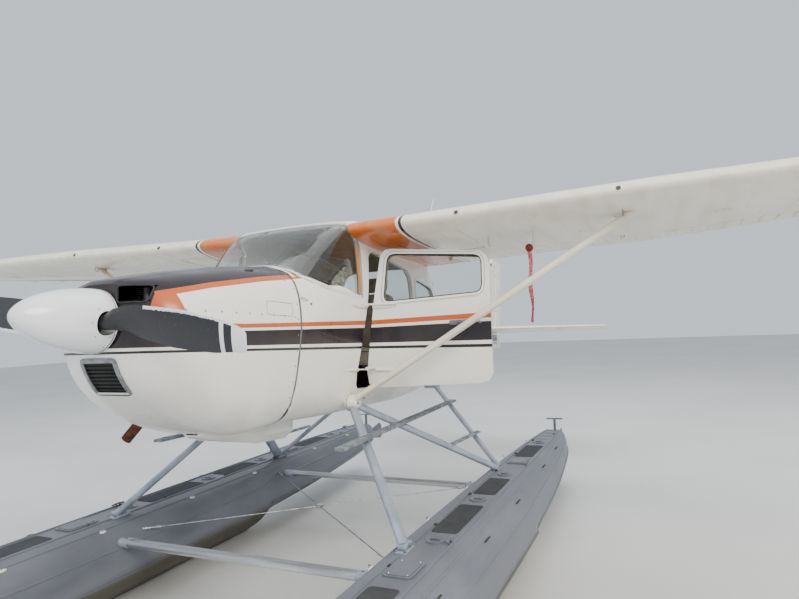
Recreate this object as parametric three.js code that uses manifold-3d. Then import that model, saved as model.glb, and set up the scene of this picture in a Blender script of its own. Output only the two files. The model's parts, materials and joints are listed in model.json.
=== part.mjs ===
// High-wing four-seat light aeroplane on twin floats, port cabin door open.
// Millimetres. +X is the port side, +Y points aft, +Z up.
// The airframe is drawn level (y = 0 at the cowl seam, z = 0 on the thrust line) and then sits
// nose-up over its level floats.
import * as THREE from 'three';
import { mergeVertices } from 'three/addons/utils/BufferGeometryUtils.js';
import Module from 'manifold-3d';

const wasm = await Module();
wasm.setup();

const DEG = Math.PI / 180;
const V = (x, y, z) => new THREE.Vector3(x, y, z);

const GAP = 0.3;                 // between fixed neighbours
const RUN = 7;                   // between a moving piece and the frame around it
const FAR = 2000;                // longer than any cross-section, for cutting prisms
const MIDDLE = 1;                // where a cutting prism for one side begins
const HIGH = 900, LOW = -900;    // above and below the body
const PITCH = 4.5 * DEG;         // airframe nose-up over the floats
const ORIGIN = { y: 2534.96, z: 1947 };   // airframe origin ahead of and above the part's origin

const WALL = 40;                 // cabin wall and door
const COWL_SKIN = 12;
const TAIL_SKIN = 12;
const GLASS = { inset: 12, thick: 6 };
const FIREWALL = { y0: 56, y1: 76 };
const TAIL_SEAM = 3100;
const FLOOR = -490;
const DOOR_OPEN = { 1: 82, '-1': 0 };    // degrees, port and starboard
const HINGE = { x: 572, y: 852, pin: 6, eye: 6.3, plate: 8 };
// Door hinges: height of the fixed plate, and the [x, y] outlines of plate and door strap
const DOOR_HINGES = [
  { z: 200, plate: [[535, 838], [584, 838], [584, 866], [535, 866]],
    strap: [[563, 842], [584, 842], [580, 1080], [540, 1080], [540, 912], [563, 912]] },
  { z: -270, plate: [[480, 776], [584, 776], [584, 866], [545, 866], [545, 812], [480, 812]],
    strap: [[560, 842], [584, 842], [584, 900], [480, 900], [480, 872], [560, 872]] },
];
// Hinge brackets of the control surfaces: eye radius, pin radius and play, plate thickness, slot
const BRACKET = { eye: 12, pin: 5, play: 0.45, thick: 8, slot: 18 };

// Body stations, nose to tail: crown height, shoulder, belt line, lower corner, belly height,
// and the share of each edge that the shoulder and the lower corner round off.
const STATION_KEYS = ['y', 'top', 'sx', 'sz', 'bx', 'bz', 'lx', 'lz', 'low', 'rs', 'rl'];
const STATIONS = [
  [-1015, 205, 190, 170, 250, 0, 150, -140, -170, 0.42, 0.42],
  [-985, 232, 235, 190, 340, 0, 215, -210, -250, 0.42, 0.42],
  [-930, 252, 300, 205, 425, 0, 290, -295, -335, 0.42, 0.42],
  [-850, 276, 350, 222, 470, 0, 350, -372, -420, 0.42, 0.42],
  [-700, 315, 400, 255, 498, 0, 395, -470, -520, 0.42, 0.42],
  [-450, 374, 432, 300, 514, 0, 420, -570, -622, 0.42, 0.42],
  [-200, 420, 450, 335, 520, 0, 428, -612, -668, 0.42, 0.42],
  [55, 462, 462, 362, 524, 0, 430, -592, -640, 0.42, 0.42],
  [120, 478, 465, 372, 530, 20, 432, -588, -634, 0.4, 0.4],
  [690, 848, 512, 820, 566, 250, 466, -576, -610, 0.16, 0.32],
  [900, 890, 512, 868, 570, 250, 466, -569, -602, 0.12, 0.32],
  [1250, 900, 512, 880, 570, 250, 464, -554, -585, 0.12, 0.32],
  [1800, 862, 510, 842, 566, 250, 454, -534, -566, 0.12, 0.34],
  [2300, 775, 492, 745, 552, 240, 415, -492, -524, 0.2, 0.38],
  [3100, 492, 350, 420, 452, 150, 335, -392, -420, 0.4, 0.4],
  [4500, 435, 215, 380, 285, 130, 205, -205, -225, 0.42, 0.42],
  [5600, 392, 110, 345, 155, 140, 110, -62, -78, 0.42, 0.42],
  [6262, 352, 48, 330, 72, 160, 50, 18, 8, 0.42, 0.42],
].map((row) => Object.fromEntries(row.map((v, i) => [STATION_KEYS[i], v])));

// Side outlines as [y, z]
const SEAM = { low: { z: -413, slope: 0.039 }, high: { z: 648, slope: -0.088, from: 1016 } };
const DOOR = [[828, -290], [838, -372], [870, -403], [1680, -371], [1740, -352], [1768, -300],
  [1772, 470], [1752, 536], [1706, 572], [1040, 630], [985, 625], [952, 590]];
const DOOR_WINDOW = [[992, 236], [1030, 232], [1676, 270], [1708, 290], [1718, 330], [1716, 500],
  [1700, 536], [1664, 550], [1060, 592], [1022, 584], [1002, 552], [980, 270]];
const SIDE_WINDOW = [[1868, 272], [2290, 300], [2330, 330], [2340, 380], [2300, 470], [2262, 492],
  [1890, 526], [1862, 510], [1850, 480], [1846, 300]];
const WINDSHIELD = [[112, 470], [168, 352], [400, 297], [796, 273], [796, 650], [758, 706],
  [714, 760], [714, 1100], [-200, 1100], [-200, 470]];
const BACK_WINDOW = [[2345, 545], [3060, 405], [3060, 1100], [2345, 1100]];

// Wing panel: span station, leading edge y and z, chord, incidence, thickness share
const WING_KEYS = ['x', 'ly', 'lz', 'chord', 'turn', 'thick'];
const WING = [
  [470, 674, 757, 1626, 1.5, 0.12],
  [2600, 682, 821, 1618, 1.2, 0.12],
  [5330, 846, 903, 1134, -1.5, 0.12],
  [5425, 862, 908, 1100, -1.5, 0.09],
  [5460, 895, 911, 1030, -1.5, 0.03],
].map((row) => Object.fromEntries(row.map((v, i) => [WING_KEYS[i], v])));
const FLAP = { x0: 604, x1: 2600, y0: 1878, y1: 1878, gap: 8 };
const AILERON = { x0: 2618, x1: 5050, y0: 1942, y1: 1767, gap: 18 };
const SPAN_GAP = 9;

// Root and tip: leading edge, trailing edge, thickness
const STAB = { z: 272, x: 1725, root: [5370, 6650, 96], tip: [5720, 6480, 58], hinge: 6180, gap: 24,
  tube: 17 };
const FIN = { z0: 250, z1: 1308, le0: 5290, le1: 6128, t0: 88, t1: 52 };
const RUDDER = { z0: 22, z1: 1440, hy: 6312, lean: 0.143, te0: 6668, te1: 6828, r0: 30, r1: 20 };

// Float stations: width share, keel, chine and deck heights over the floor
const FLOAT_KEYS = ['y', 'w', 'keel', 'chine', 'deck'];
const FOREBODY = [
  [-1850, 0.13, 500, 525, 560],
  [-1785, 0.38, 385, 452, 592],
  [-1600, 0.64, 228, 372, 612],
  [-1300, 0.84, 92, 312, 622],
  [-1000, 0.94, 20, 284, 620],
  [-720, 0.985, 0, 272, 620],
  [0, 1, 0, 268, 620],
  [900, 1, 0, 265, 620],
  [1650, 0.97, 0, 258, 620],
];
const AFTERBODY = [
  [1600, 0.955, 85, 286, 620],
  [2600, 0.86, 132, 312, 620],
  [3500, 0.69, 196, 352, 612],
  [4040, 0.52, 250, 390, 604],
  [4215, 0.4, 292, 418, 592],
];
const FLOAT = { x: 1268, beam: 336, deck: 118, keel: 12 };
// Half section of a float outboard from the deck: share of the beam, share of chine-to-deck height
const FLOAT_SIDE = [[0.54, 0.96], [0.72, 0.86], [0.85, 0.69], [0.94, 0.46], [0.985, 0.2], [1, 0]];

function signedVolume(position, index) {
  let sum = 0;
  const a = V(), b = V(), c = V();
  for (let i = 0; i < index.length; i += 3) {
    a.fromBufferAttribute(position, index[i]);
    b.fromBufferAttribute(position, index[i + 1]);
    c.fromBufferAttribute(position, index[i + 2]);
    sum += a.dot(b.cross(c));
  }
  return sum;
}

function outward(geometry) {
  const index = Array.from(geometry.index.array);
  if (signedVolume(geometry.attributes.position, index) < 0) {
    for (let i = 0; i < index.length; i += 3) [index[i], index[i + 1]] = [index[i + 1], index[i]];
    geometry.setIndex(index);
  }
  return geometry;
}

function solid(geometry) {
  const bare = geometry.clone();
  for (const name of Object.keys(bare.attributes)) if (name !== 'position') bare.deleteAttribute(name);
  const merged = outward(mergeVertices(bare, 1e-3));
  return new wasm.Manifold(new wasm.Mesh({
    numProp: 3,
    vertProperties: new Float32Array(merged.attributes.position.array),
    triVerts: new Uint32Array(merged.index.array),
  }));
}

function geometryOf(body) {
  const mesh = body.getMesh();
  const geometry = new THREE.BufferGeometry();
  geometry.setAttribute('position', new THREE.BufferAttribute(new Float32Array(mesh.vertProperties), 3));
  geometry.setIndex(Array.from(mesh.triVerts));
  geometry.computeVertexNormals();
  return geometry;
}

const union = (...bodies) => bodies.reduce((a, b) => a.add(b));
const cut = (body, ...tools) => tools.reduce((a, b) => a.subtract(b), body);

// The faces that close a flat loop, turned the way the loop runs.
function capFaces(loop) {
  const normal = V(0, 0, 0);
  loop.forEach((p, i) => normal.add(p.clone().cross(loop[(i + 1) % loop.length])));
  const size = [Math.abs(normal.x), Math.abs(normal.y), Math.abs(normal.z)];
  const drop = size.indexOf(Math.max(...size));
  const flat = loop.map((p) => new THREE.Vector2(...p.toArray().filter((_, k) => k !== drop)));
  return THREE.ShapeUtils.triangulateShape(flat, []).map(([a, b, c]) => {
    const turn = loop[b].clone().sub(loop[a]).cross(loop[c].clone().sub(loop[a]));
    return turn.dot(normal) > 0 ? [a, b, c] : [a, c, b];
  });
}

// A closed body through loops of equal point count.
function loft(loops) {
  const n = loops[0].length;
  const index = [];
  for (let i = 0; i + 1 < loops.length; i += 1) {
    for (let j = 0; j < n; j += 1) {
      const a = i * n + j, b = i * n + (j + 1) % n;
      index.push(a, b, b + n, a, b + n, a + n);
    }
  }
  const last = (loops.length - 1) * n;
  for (const [a, b, c] of capFaces(loops[0])) index.push(a, c, b);
  for (const [a, b, c] of capFaces(loops[loops.length - 1])) index.push(last + a, last + b, last + c);
  const geometry = new THREE.BufferGeometry().setFromPoints(loops.flat());
  geometry.setIndex(index);
  return solid(geometry);
}

function box(x0, x1, y0, y1, z0, z1) {
  const geometry = new THREE.BoxGeometry(Math.abs(x1 - x0), y1 - y0, z1 - z0);
  return solid(geometry.translate((x0 + x1) / 2, (y0 + y1) / 2, (z0 + z1) / 2));
}

// A [y, z] outline pushed along X, or an [x, y] outline pushed along Z.
function prismX(outline, x0, x1) {
  return loft([x0, x1].map((x) => outline.map(([y, z]) => V(x, y, z))));
}
function prismZ(outline, z0, z1) {
  return loft([z0, z1].map((z) => outline.map(([x, y]) => V(x, y, z))));
}

// The same for one side of the middle plane only.
const sidePrism = (side, outline) => prismX(outline, side * MIDDLE, side * FAR);
const sideBox = (side, y0, y1, z0, z1) => box(side * MIDDLE, side * FAR, y0, y1, z0, z1);

function rod(from, to, radius, sides = 12, radiusTo = radius) {
  const axis = to.clone().sub(from);
  const geometry = new THREE.CylinderGeometry(radiusTo, radius, axis.length(), sides);
  geometry.applyQuaternion(new THREE.Quaternion().setFromUnitVectors(V(0, 1, 0), axis.clone().normalize()));
  return solid(geometry.translate(...from.clone().add(to).multiplyScalar(0.5).toArray()));
}

// A streamlined tube; its chord lies in the plane of its axis and the fore-and-aft direction.
function strut(from, to, chord, thick, grow = 0) {
  const axis = to.clone().sub(from).normalize();
  const aft = V(0, 1, 0).addScaledVector(axis, -axis.y).normalize();
  const side = axis.clone().cross(aft);
  const shape = [[-0.5, 0], [-0.44, 0.3], [-0.26, 0.5], [0, 0.46], [0.3, 0.24], [0.5, 0.04]];
  const loop = [...shape, ...shape.slice(1).reverse().map(([u, v]) => [u, -v])];
  return loft([from, to].map((end) => loop.map(([u, v]) => end.clone()
    .addScaledVector(aft, u * (chord + 2 * grow)).addScaledVector(side, v * (thick + 2 * grow)))));
}

// Outline offset outward by a distance (counter-clockwise or not).
function offset(outline, distance) {
  const area = outline.reduce((s, [x, y], i) => {
    const [u, v] = outline[(i + 1) % outline.length];
    return s + x * v - u * y;
  }, 0);
  const turn = Math.sign(area);
  const count = outline.length;
  return outline.map((p, i) => {
    const before = outline[(i + count - 1) % count], after = outline[(i + 1) % count];
    const normalOf = (a, b) => {
      const length = Math.hypot(b[0] - a[0], b[1] - a[1]);
      return [turn * (b[1] - a[1]) / length, -turn * (b[0] - a[0]) / length];
    };
    const [ax, ay] = normalOf(before, p), [bx, by] = normalOf(p, after);
    const k = distance / (1 + ax * bx + ay * by);
    return [p[0] + k * (ax + bx), p[1] + k * (ay + by)];
  });
}

const lerp = (a, b, t) => a + (b - a) * t;

// One cross-section of the body, drawn in from the outside by the inset.
function bodyLoop(s, inset, y = s.y) {
  const narrow = (x, least) => Math.max(x - inset, least);
  const half = [[0, s.top - inset, 0.4, 1], [narrow(s.sx, 6), s.sz - inset, s.rs, 3],
    [narrow(s.bx, 9), s.bz, 0.3, 2], [narrow(s.lx, 6), s.lz + inset, s.rl, 3], [0, s.low + inset, 0.4, 1]];
  const corners = [...half, ...half.slice(1, 4).reverse().map(([x, z, f, k]) => [-x, z, f, k])];
  const loop = [];
  corners.forEach(([x, z, share, steps], i) => {
    const [ax, az] = corners[(i + 7) % 8], [bx, bz] = corners[(i + 1) % 8];
    for (let k = 0; k <= steps; k += 1) {
      const t = k / steps, p = (1 - t) ** 2 * share, q = t ** 2 * share;
      loop.push(V(x + p * (ax - x) + q * (bx - x), y, z + p * (az - z) + q * (bz - z)));
    }
  });
  return loop;
}

function bodySolid(inset) {
  const last = STATIONS.length - 1;
  return loft(STATIONS.map((s, i) => {
    const shift = i === 0 ? inset : i === last ? -inset * 3 : 0;
    return bodyLoop(s, inset, s.y + shift);
  }));
}

const outer = bodySolid(0);
const grown = bodySolid(-GAP);
const shell = cut(outer, bodySolid(WALL));
const pane = cut(bodySolid(GLASS.inset), bodySolid(GLASS.inset + GLASS.thick));

const lowSeam = (y) => SEAM.low.z + SEAM.low.slope * (y - 857);
const highSeam = (y) => SEAM.high.z + SEAM.high.slope * (y - SEAM.high.from);

function sidePanel(side, from, to) {
  const outline = [[from, lowSeam(from) + GAP], [to, lowSeam(to) + GAP],
    [to, highSeam(to) - GAP], [from, highSeam(from) - GAP]];
  return shell.intersect(sidePrism(side, outline));
}

// Plates on the cabin side that carry the door pins, and the straps on the door.
function doorPlates(side) {
  return DOOR_HINGES.map(({ z, plate }) => cut(
    prismZ(plate.map(([x, y]) => [side * x, y]), z, z + HINGE.plate),
    rod(V(side * HINGE.x, HINGE.y, z - 5), V(side * HINGE.x, HINGE.y, z + 20), HINGE.eye, 12)));
}

function doorStraps(side) {
  return DOOR_HINGES.flatMap(({ z, strap }) => [
    prismZ(strap.map(([x, y]) => [side * x, y]), z + HINGE.plate + 1, z + HINGE.plate + 13),
    rod(V(side * HINGE.x, HINGE.y, z - 8), V(side * HINGE.x, HINGE.y, z + HINGE.plate + 6), HINGE.pin, 12)]);
}

const doorHole = (side) => sidePrism(side, offset(DOOR, RUN));
const windowPane = (side, outline) => pane.intersect(sidePrism(side, offset(outline, -GAP)));

// The windscreen base rises to the middle of the cowl deck.
const DECK = [[FIREWALL.y1 + GAP, 300 + GAP], [386, 300 + GAP], [168, 352],
  [112, 470], [112, HIGH], [FIREWALL.y1 + GAP, HIGH]];

function frontSide(side) {
  const panel = sidePanel(side, FIREWALL.y1 + GAP, 1300);
  const above = [[0, 300], [389, 300], [400, 297 - GAP], [796 + GAP, 273 - GAP],
    [796 + GAP, 1100], [0, 1100]];
  const aftOfDoor = sideBox(side, 1016, 1400, LOW, HIGH);
  return union(cut(panel, sidePrism(side, above), doorHole(side), aftOfDoor), ...doorPlates(side));
}

function rearSide(side) {
  const seam = TAIL_SEAM - GAP, [glassFrom, glassTo] = [2345 + GAP, 3060 + GAP];
  const outline = [[1400, lowSeam(1400) + GAP], [seam, lowSeam(seam) + GAP], [seam, 400],
    [glassTo, 400], [glassTo, 405 - 2 * GAP], [glassFrom, 545 - 2 * GAP],
    [glassFrom, highSeam(2345) - GAP], [1400, highSeam(1400) - GAP]];
  const ahead = sideBox(side, 1300, 1706, LOW, HIGH);
  return cut(shell.intersect(sidePrism(side, outline)), ahead, doorHole(side), sidePrism(side, SIDE_WINDOW));
}

function roof() {
  const outline = [[796 + GAP, highSeam(796)], [2345 - GAP, highSeam(2345)], [2345 - GAP, 1100],
    [714 + GAP, 1100], [714 + GAP, 760 + GAP], [758 + GAP, 706 + GAP]];
  return cut(shell.intersect(prismX(outline, -FAR, FAR)), doorHole(1), doorHole(-1));
}

function bellyFloor() {
  const y0 = FIREWALL.y1 + GAP, y1 = TAIL_SEAM - GAP;
  const outline = [[y0, LOW], [y1, LOW], [y1, lowSeam(y1)], [y0, lowSeam(y0)]];
  const hollow = bodySolid(WALL).intersect(box(-FAR, FAR, y0 - 50, y1 + 50, FLOOR, HIGH));
  return cut(outer.intersect(prismX(outline, -FAR, FAR)), hollow, doorHole(1), doorHole(-1));
}

// The thin-walled tail, bored for the elevator's torque tube.
function tailcone() {
  const tube = cut(outer, bodySolid(TAIL_SKIN)).intersect(box(-FAR, FAR, TAIL_SEAM, 7000, LOW, HIGH));
  return cut(tube, torqueTube(FAR, STAB.tube + 0.6));
}

// The ring behind the back window.
function tailDeck() {
  const [y0, y1] = [3060 + GAP, TAIL_SEAM - GAP];
  return shell.intersect(prismX([[y0, 400 + GAP], [y1, 400 + GAP], [y1, HIGH], [y0, HIGH]], -FAR, FAR));
}

const rearBulkhead = () => bodySolid(WALL + GAP).intersect(box(-FAR, FAR, 3010, 3022, LOW, 395));
const firewall = () => outer.intersect(box(-FAR, FAR, FIREWALL.y0, FIREWALL.y1, LOW, HIGH));

const COWL = { front: -1100, rear: FIREWALL.y0 - GAP };
const SHAFT = { r: 42, hole: 62, face: -1017 };
const INLET = { x0: 125, x1: 305, z0: 88, z1: 178, y1: -880 };
const INTAKE = { x0: -122, x1: 102, z0: -358, z1: -205, y1: -850 };
const EXHAUST = { r: 32, top: V(-215, -340, -241.2), knee: V(-300, -375, -500), end: V(-445, -413, -672) };

function cowlSkin() {
  const skin = cut(outer, bodySolid(COWL_SKIN)).intersect(box(-FAR, FAR, COWL.front, COWL.rear, LOW, HIGH));
  const inlets = [1, -1].map((side) => (
    box(side * INLET.x0, side * INLET.x1, COWL.front, INLET.y1, INLET.z0, INLET.z1)));
  const intake = box(INTAKE.x0, INTAKE.x1, COWL.front, INTAKE.y1, INTAKE.z0, INTAKE.z1);
  const shaft = rod(V(0, COWL.front, 0), V(0, -960, 0), SHAFT.hole, 20);
  return cut(skin, ...inlets, intake, shaft, rod(EXHAUST.knee, EXHAUST.end, EXHAUST.r + 8));
}

// Cooling-air exit that bulges under the belly and opens aft: y, half width, lowest height
const EXIT = [[-330, 120, -640], [-150, 175, -695], [120, 200, -735], [450, 190, -738]];

function exitLoft(inset, reach) {
  return loft(EXIT.map(([y, w, low], i) => {
    const hw = w - inset, z = low + inset, at = i === EXIT.length - 1 ? y + reach : y;
    return [[-hw, -560], [-hw, z + 60], [-hw + 70, z], [hw - 70, z], [hw, z + 60], [hw, -560]]
      .map(([x, h]) => V(x, at, h));
  }));
}

function cowlLower(skin) {
  const below = (y0, y1, z1) => box(-FAR, FAR, y0, y1, LOW, z1);
  const wall = 10, beyond = 20;
  const scoop = cut(exitLoft(0, 0), exitLoft(wall, beyond));
  const ahead = cut(scoop.intersect(below(-400, COWL.rear, 0)), bodySolid(6));
  const under = cut(scoop.intersect(below(COWL.rear - 0.1, 900, 0)), bodySolid(-1));
  const mouth = exitLoft(wall, beyond).intersect(below(-260, COWL.rear, 0));
  return union(cut(skin.intersect(below(COWL.front, 60, -0.2)), mouth), ahead, under);
}

function airFilter() {
  const block = box(INTAKE.x0 + GAP, INTAKE.x1 - GAP, -1040, INTAKE.y1, INTAKE.z0 + GAP, INTAKE.z1 - GAP);
  return block.intersect(bodySolid(9));
}

// One plain block on four tubes, with the propeller shaft.
const ENGINE = { x: 270, y0: -820, y1: -130, z0: -230, z1: 130, tube: 15 };

function engineBlock() {
  const block = box(-ENGINE.x, ENGINE.x, ENGINE.y0, ENGINE.y1, ENGINE.z0, ENGINE.z1);
  const tubes = [[-190, -180], [190, -180], [-190, 80], [190, 80]].map(([x, z]) => (
    rod(V(x, ENGINE.y1 - 10, z), V(x * 1.2, FIREWALL.y0 - 4.5, z * 1.2), ENGINE.tube, 8)));
  const shaft = rod(V(0, ENGINE.y0 + 20, 0), V(0, SHAFT.face + 0.5, 0), SHAFT.r, 16);
  return union(block, shaft, ...tubes);
}

function exhaustStack() {
  const { r, top, knee, end } = EXHAUST;
  const ball = solid(new THREE.SphereGeometry(r, 12, 8).translate(...knee.toArray()));
  const bore = rod(knee.clone().lerp(end, 0.35), end.clone().lerp(knee, -0.1), r - 5);
  return cut(union(rod(top, knee, r), ball, rod(knee, end, r)), bore);
}

const PROP = { y: -1085, low: 7 * DEG, radius: 1000 };
// Blade stations: radius, chord, thickness, pitch in degrees, offset along the turn
const BLADE = [
  [30, 92, 70, 45, 0], [150, 92, 60, 42, 6], [235, 140, 38, 37, 22], [400, 186, 24, 28, 22],
  [600, 192, 17, 20, 12], [800, 168, 12, 16, 4], [920, 128, 9, 14, 0], [980, 76, 7, 13, -4],
  [1000, 26, 5, 13, -6],
];

function blade(angle) {
  const out = V(Math.cos(angle), 0, Math.sin(angle));
  const turn = V(0, -1, 0).cross(out);
  const shape = [[-0.5, 0], [-0.3, 0.45], [0, 0.75], [0.3, 0.6], [0.5, 0.05], [0.3, -0.2], [0, -0.25],
    [-0.3, -0.15]];
  return loft(BLADE.map(([r, chord, thick, pitch, shift]) => {
    const lead = turn.clone().multiplyScalar(Math.cos(pitch * DEG)).add(V(0, -Math.sin(pitch * DEG), 0));
    const face = lead.clone().cross(out);
    if (face.y > 0) face.negate();
    return shape.map(([u, v]) => V(0, PROP.y, 0).addScaledVector(out, r)
      .addScaledVector(turn, shift).addScaledVector(lead, u * chord).addScaledVector(face, v * thick));
  }));
}

function propeller() {
  const hub = rod(V(0, SHAFT.face, 0), V(0, -1150, 0), 71, 20);
  return union(hub, blade(-PROP.low), blade(Math.PI - PROP.low));
}

const SPINNER = { tip: -1476, back: -1030, r: 165, wall: 7, eye: 72, notch: 62 };

function spinner() {
  const profile = (wall) => [0, 0.04, 0.13, 0.3, 0.5, 0.75, 1].map((t) => {
    const y = lerp(SPINNER.tip + wall * 1.6, SPINNER.back, t);
    return new THREE.Vector2((SPINNER.r - wall) * (t * (2 - t)) ** 0.6, y);
  });
  const inside = profile(SPINNER.wall).map((p, i, all) => (
    i === all.length - 1 ? new THREE.Vector2(p.x, p.y - SPINNER.wall) : p)).reverse();
  const points = [...profile(0), new THREE.Vector2(SPINNER.eye, SPINNER.back),
    new THREE.Vector2(SPINNER.eye, SPINNER.back - SPINNER.wall), ...inside];
  points[0].x = 0;
  points[points.length - 1].x = 0;
  const dome = solid(new THREE.LatheGeometry(points, 20));
  const notch = (angle) => {
    const at = (r) => V(r * Math.cos(angle), PROP.y - 4, r * Math.sin(angle));
    return rod(at(90), at(260), SPINNER.notch, 14);
  };
  return cut(dome, notch(-PROP.low), notch(Math.PI - PROP.low));
}

const PANEL = { x: 480, y0: 455, y1: 480, z0: -60, z1: 330 };
const YOKE = { x: 245, z: 95, y0: 690, y1: 715, tube: 14 };

function instrumentPanel() {
  const panel = box(-PANEL.x, PANEL.x, PANEL.y0, PANEL.y1, PANEL.z0, PANEL.z1);
  const shield = prismX([[200, 330], [490, 330], [500, 345], [490, 362], [200, 352]], -PANEL.x, PANEL.x);
  return union(panel, shield).intersect(bodySolid(WALL + GAP));
}

function yoke(side) {
  const wheel = [[-120, 70], [-135, 40], [-110, -15], [110, -15], [135, 40], [120, 70], [95, 62],
    [105, 40], [88, 18], [-88, 18], [-105, 40], [-95, 62]];
  const x = side * YOKE.x;
  const rim = loft([YOKE.y0, YOKE.y1].map((y) => wheel.map(([u, v]) => V(x + u, y, YOKE.z + v))));
  return union(rim, rod(V(x, PANEL.y1 + GAP, YOKE.z), V(x, YOKE.y0 + 10, YOKE.z), YOKE.tube, 10));
}

// What stands on the floor between the cabin walls.
function fitted(body, gap) {
  return body.intersect(bodySolid(WALL + gap)).intersect(box(-FAR, FAR, 0, 4000, FLOOR + GAP, HIGH));
}

// Half widths and side outlines of the seats
const SEAT = { x: 240, half: 184, head: 120, top: -110, bottom: -230, y0: 1060, y1: 1520,
  back: [[1470, -120], [1530, -120], [1650, 380], [1560, 385]],
  rest: [[1575, 370], [1640, 370], [1665, 500], [1600, 505]], rails: [-150, 70], rail: 15 };
const BENCH = { half: 440, backHalf: 420, baseHalf: 230, top: -120, bottom: -250, y0: 2020, y1: 2440,
  back: [[2400, -130], [2470, -130], [2560, 330], [2480, 335]], base: [2060, 2240] };

function frontSeat(side) {
  const x = side * SEAT.x;
  const cushion = box(x - SEAT.half, x + SEAT.half, SEAT.y0, SEAT.y1, SEAT.bottom, SEAT.top);
  const rails = SEAT.rails.map((d) => (
    box(x + side * d - SEAT.rail, x + side * d + SEAT.rail, 1100, 1480, -600, SEAT.bottom + 5)));
  return fitted(union(cushion, prismX(SEAT.back, x - SEAT.half, x + SEAT.half),
    prismX(SEAT.rest, x - SEAT.head, x + SEAT.head), ...rails), RUN + 3);
}

function rearBench() {
  const cushion = box(-BENCH.half, BENCH.half, BENCH.y0, BENCH.y1, BENCH.bottom, BENCH.top);
  const base = box(-BENCH.baseHalf, BENCH.baseHalf, ...BENCH.base, -600, BENCH.bottom + 5);
  return fitted(union(cushion, prismX(BENCH.back, -BENCH.backHalf, BENCH.backHalf), base), GAP);
}

// One bracket: a plate square to the axis, fixed ahead of it, and the slot, pin and ears of the
// moving piece. slotRadius clears the plate as the piece turns.
function bracket(at, axis, ahead, reach, slotRadius) {
  const n = axis.clone().normalize();
  const limb = (dir, from, to, wide, half) => {
    const across = n.clone().cross(dir).normalize();
    return loft([-half, half].map((t) => [[from, -wide], [from, wide], [to, wide], [to, -wide]]
      .map(([d, w]) => at.clone().addScaledVector(dir, d).addScaledVector(n, t).addScaledVector(across, w))));
  };
  const disc = (half, r, sides) => (
    rod(at.clone().addScaledVector(n, -half), at.clone().addScaledVector(n, half), r, sides));
  const half = BRACKET.thick / 2;
  return {
    fixed: cut(limb(ahead, -BRACKET.eye, reach, BRACKET.eye, half), disc(20, BRACKET.pin + BRACKET.play, 16)),
    slot: disc(BRACKET.slot / 2, slotRadius, 10),
    pin: disc(BRACKET.slot / 2 + 6, BRACKET.pin, 16),
    ear: limb(V(0, 0.35, 0.94).normalize(), -10, 42, 12, BRACKET.slot / 2 + 8),
  };
}

const fixedTo = (body, brackets) => union(body, ...brackets.map((b) => b.fixed));
function movedBy(body, brackets) {
  return union(cut(body, ...brackets.map((b) => b.slot)), ...brackets.map((b) => b.pin));
}

// Cambered section of unit chord from the upper trailing edge round the nose to the lower one.
function foil(thick) {
  const upper = [1, 0.84, 0.66, 0.5, 0.35, 0.22, 0.12, 0.055, 0.018];
  const lower = [0.015, 0.06, 0.16, 0.32, 0.52, 0.75, 1];
  const half = (x) => 5 * thick * (0.2969 * Math.sqrt(x) - 0.126 * x - 0.3516 * x * x
    + 0.2843 * x ** 3 - 0.1015 * x ** 4) + 0.0009;
  const camber = (x) => (x < 0.4 ? 0.125 * (0.8 * x - x * x) : 0.0556 * (0.2 + 0.8 * x - x * x));
  const line = (x, sign) => [x, camber(x) * (thick / 0.12) + sign * half(x)];
  return [...upper.map((x) => line(x, 1)), [0, 0], ...lower.map((x) => line(x, -1))];
}

function wingLoop(side, s) {
  const c = Math.cos(s.turn * DEG), k = Math.sin(s.turn * DEG);
  return foil(s.thick).map(([u, v]) => (
    V(side * s.x, s.ly + s.chord * (u * c + v * k), s.lz + s.chord * (v * c - u * k))));
}

const wingSolid = (side) => loft(WING.map((s) => wingLoop(side, s)));

// Plan of a trailing-edge surface, grown by one gap along the span and another along the chord.
function leafArea(side, { x0, x1, y0, y1 }, spanGap, chordGap) {
  const [a, b] = [side * (x0 - spanGap), side * (x1 + spanGap)];
  return prismZ([[a, y0 - chordGap], [b, y1 - chordGap], [b, 2600], [a, 2600]], 300, 1300);
}

// Hinge axes from root to tip
const FLAP_AXIS = [V(604, 1882, 682), V(2600, 1882, 749)];
const AILERON_AXIS = [V(2618, 1942, 814), V(5050, 1767, 928)];

function wingBrackets(side, [from, to], shares, ahead, reach) {
  const a = V(side * from.x, from.y, from.z), b = V(side * to.x, to.y, to.z);
  const axis = b.clone().sub(a);
  return shares.map((t) => bracket(a.clone().addScaledVector(axis, t), axis, ahead, reach, BRACKET.eye + 11));
}
const flapBrackets = (side) => wingBrackets(side, FLAP_AXIS, [0.14, 0.86], V(0, -0.86, 0.5).normalize(), 60);
const aileronBrackets = (side) => wingBrackets(side, AILERON_AXIS, [0.12, 0.88], V(0, -1, 0), 30);

function wing(side) {
  const panel = cut(wingSolid(side), grown, leafArea(side, FLAP, SPAN_GAP, FLAP.gap),
    leafArea(side, AILERON, SPAN_GAP, AILERON.gap));
  return fixedTo(panel, [...flapBrackets(side), ...aileronBrackets(side)]);
}

function flap(side) {
  const brackets = flapBrackets(side);
  const leaf = wingSolid(side).intersect(leafArea(side, FLAP, 0, 0));
  return movedBy(union(leaf, ...brackets.map((b) => b.ear)), brackets);
}

function aileron(side) {
  return movedBy(wingSolid(side).intersect(leafArea(side, AILERON, 0, 0)), aileronBrackets(side));
}

// Where the wing strut and two float struts meet the lower cabin, and the strut's end at the wing
const FITTING = V(478, 782, -505);
const WING_STRUT_TOP = V(2549, 1041, 800);

function wingStrut(side) {
  const top = WING_STRUT_TOP.clone(), foot = FITTING.clone();
  top.x *= side;
  foot.x *= side;
  const below = wingSolid(side).translate(0, 0, -GAP);
  return cut(strut(foot, top, 112, 48), below, fitting(side, 1.5), grown);
}

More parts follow.
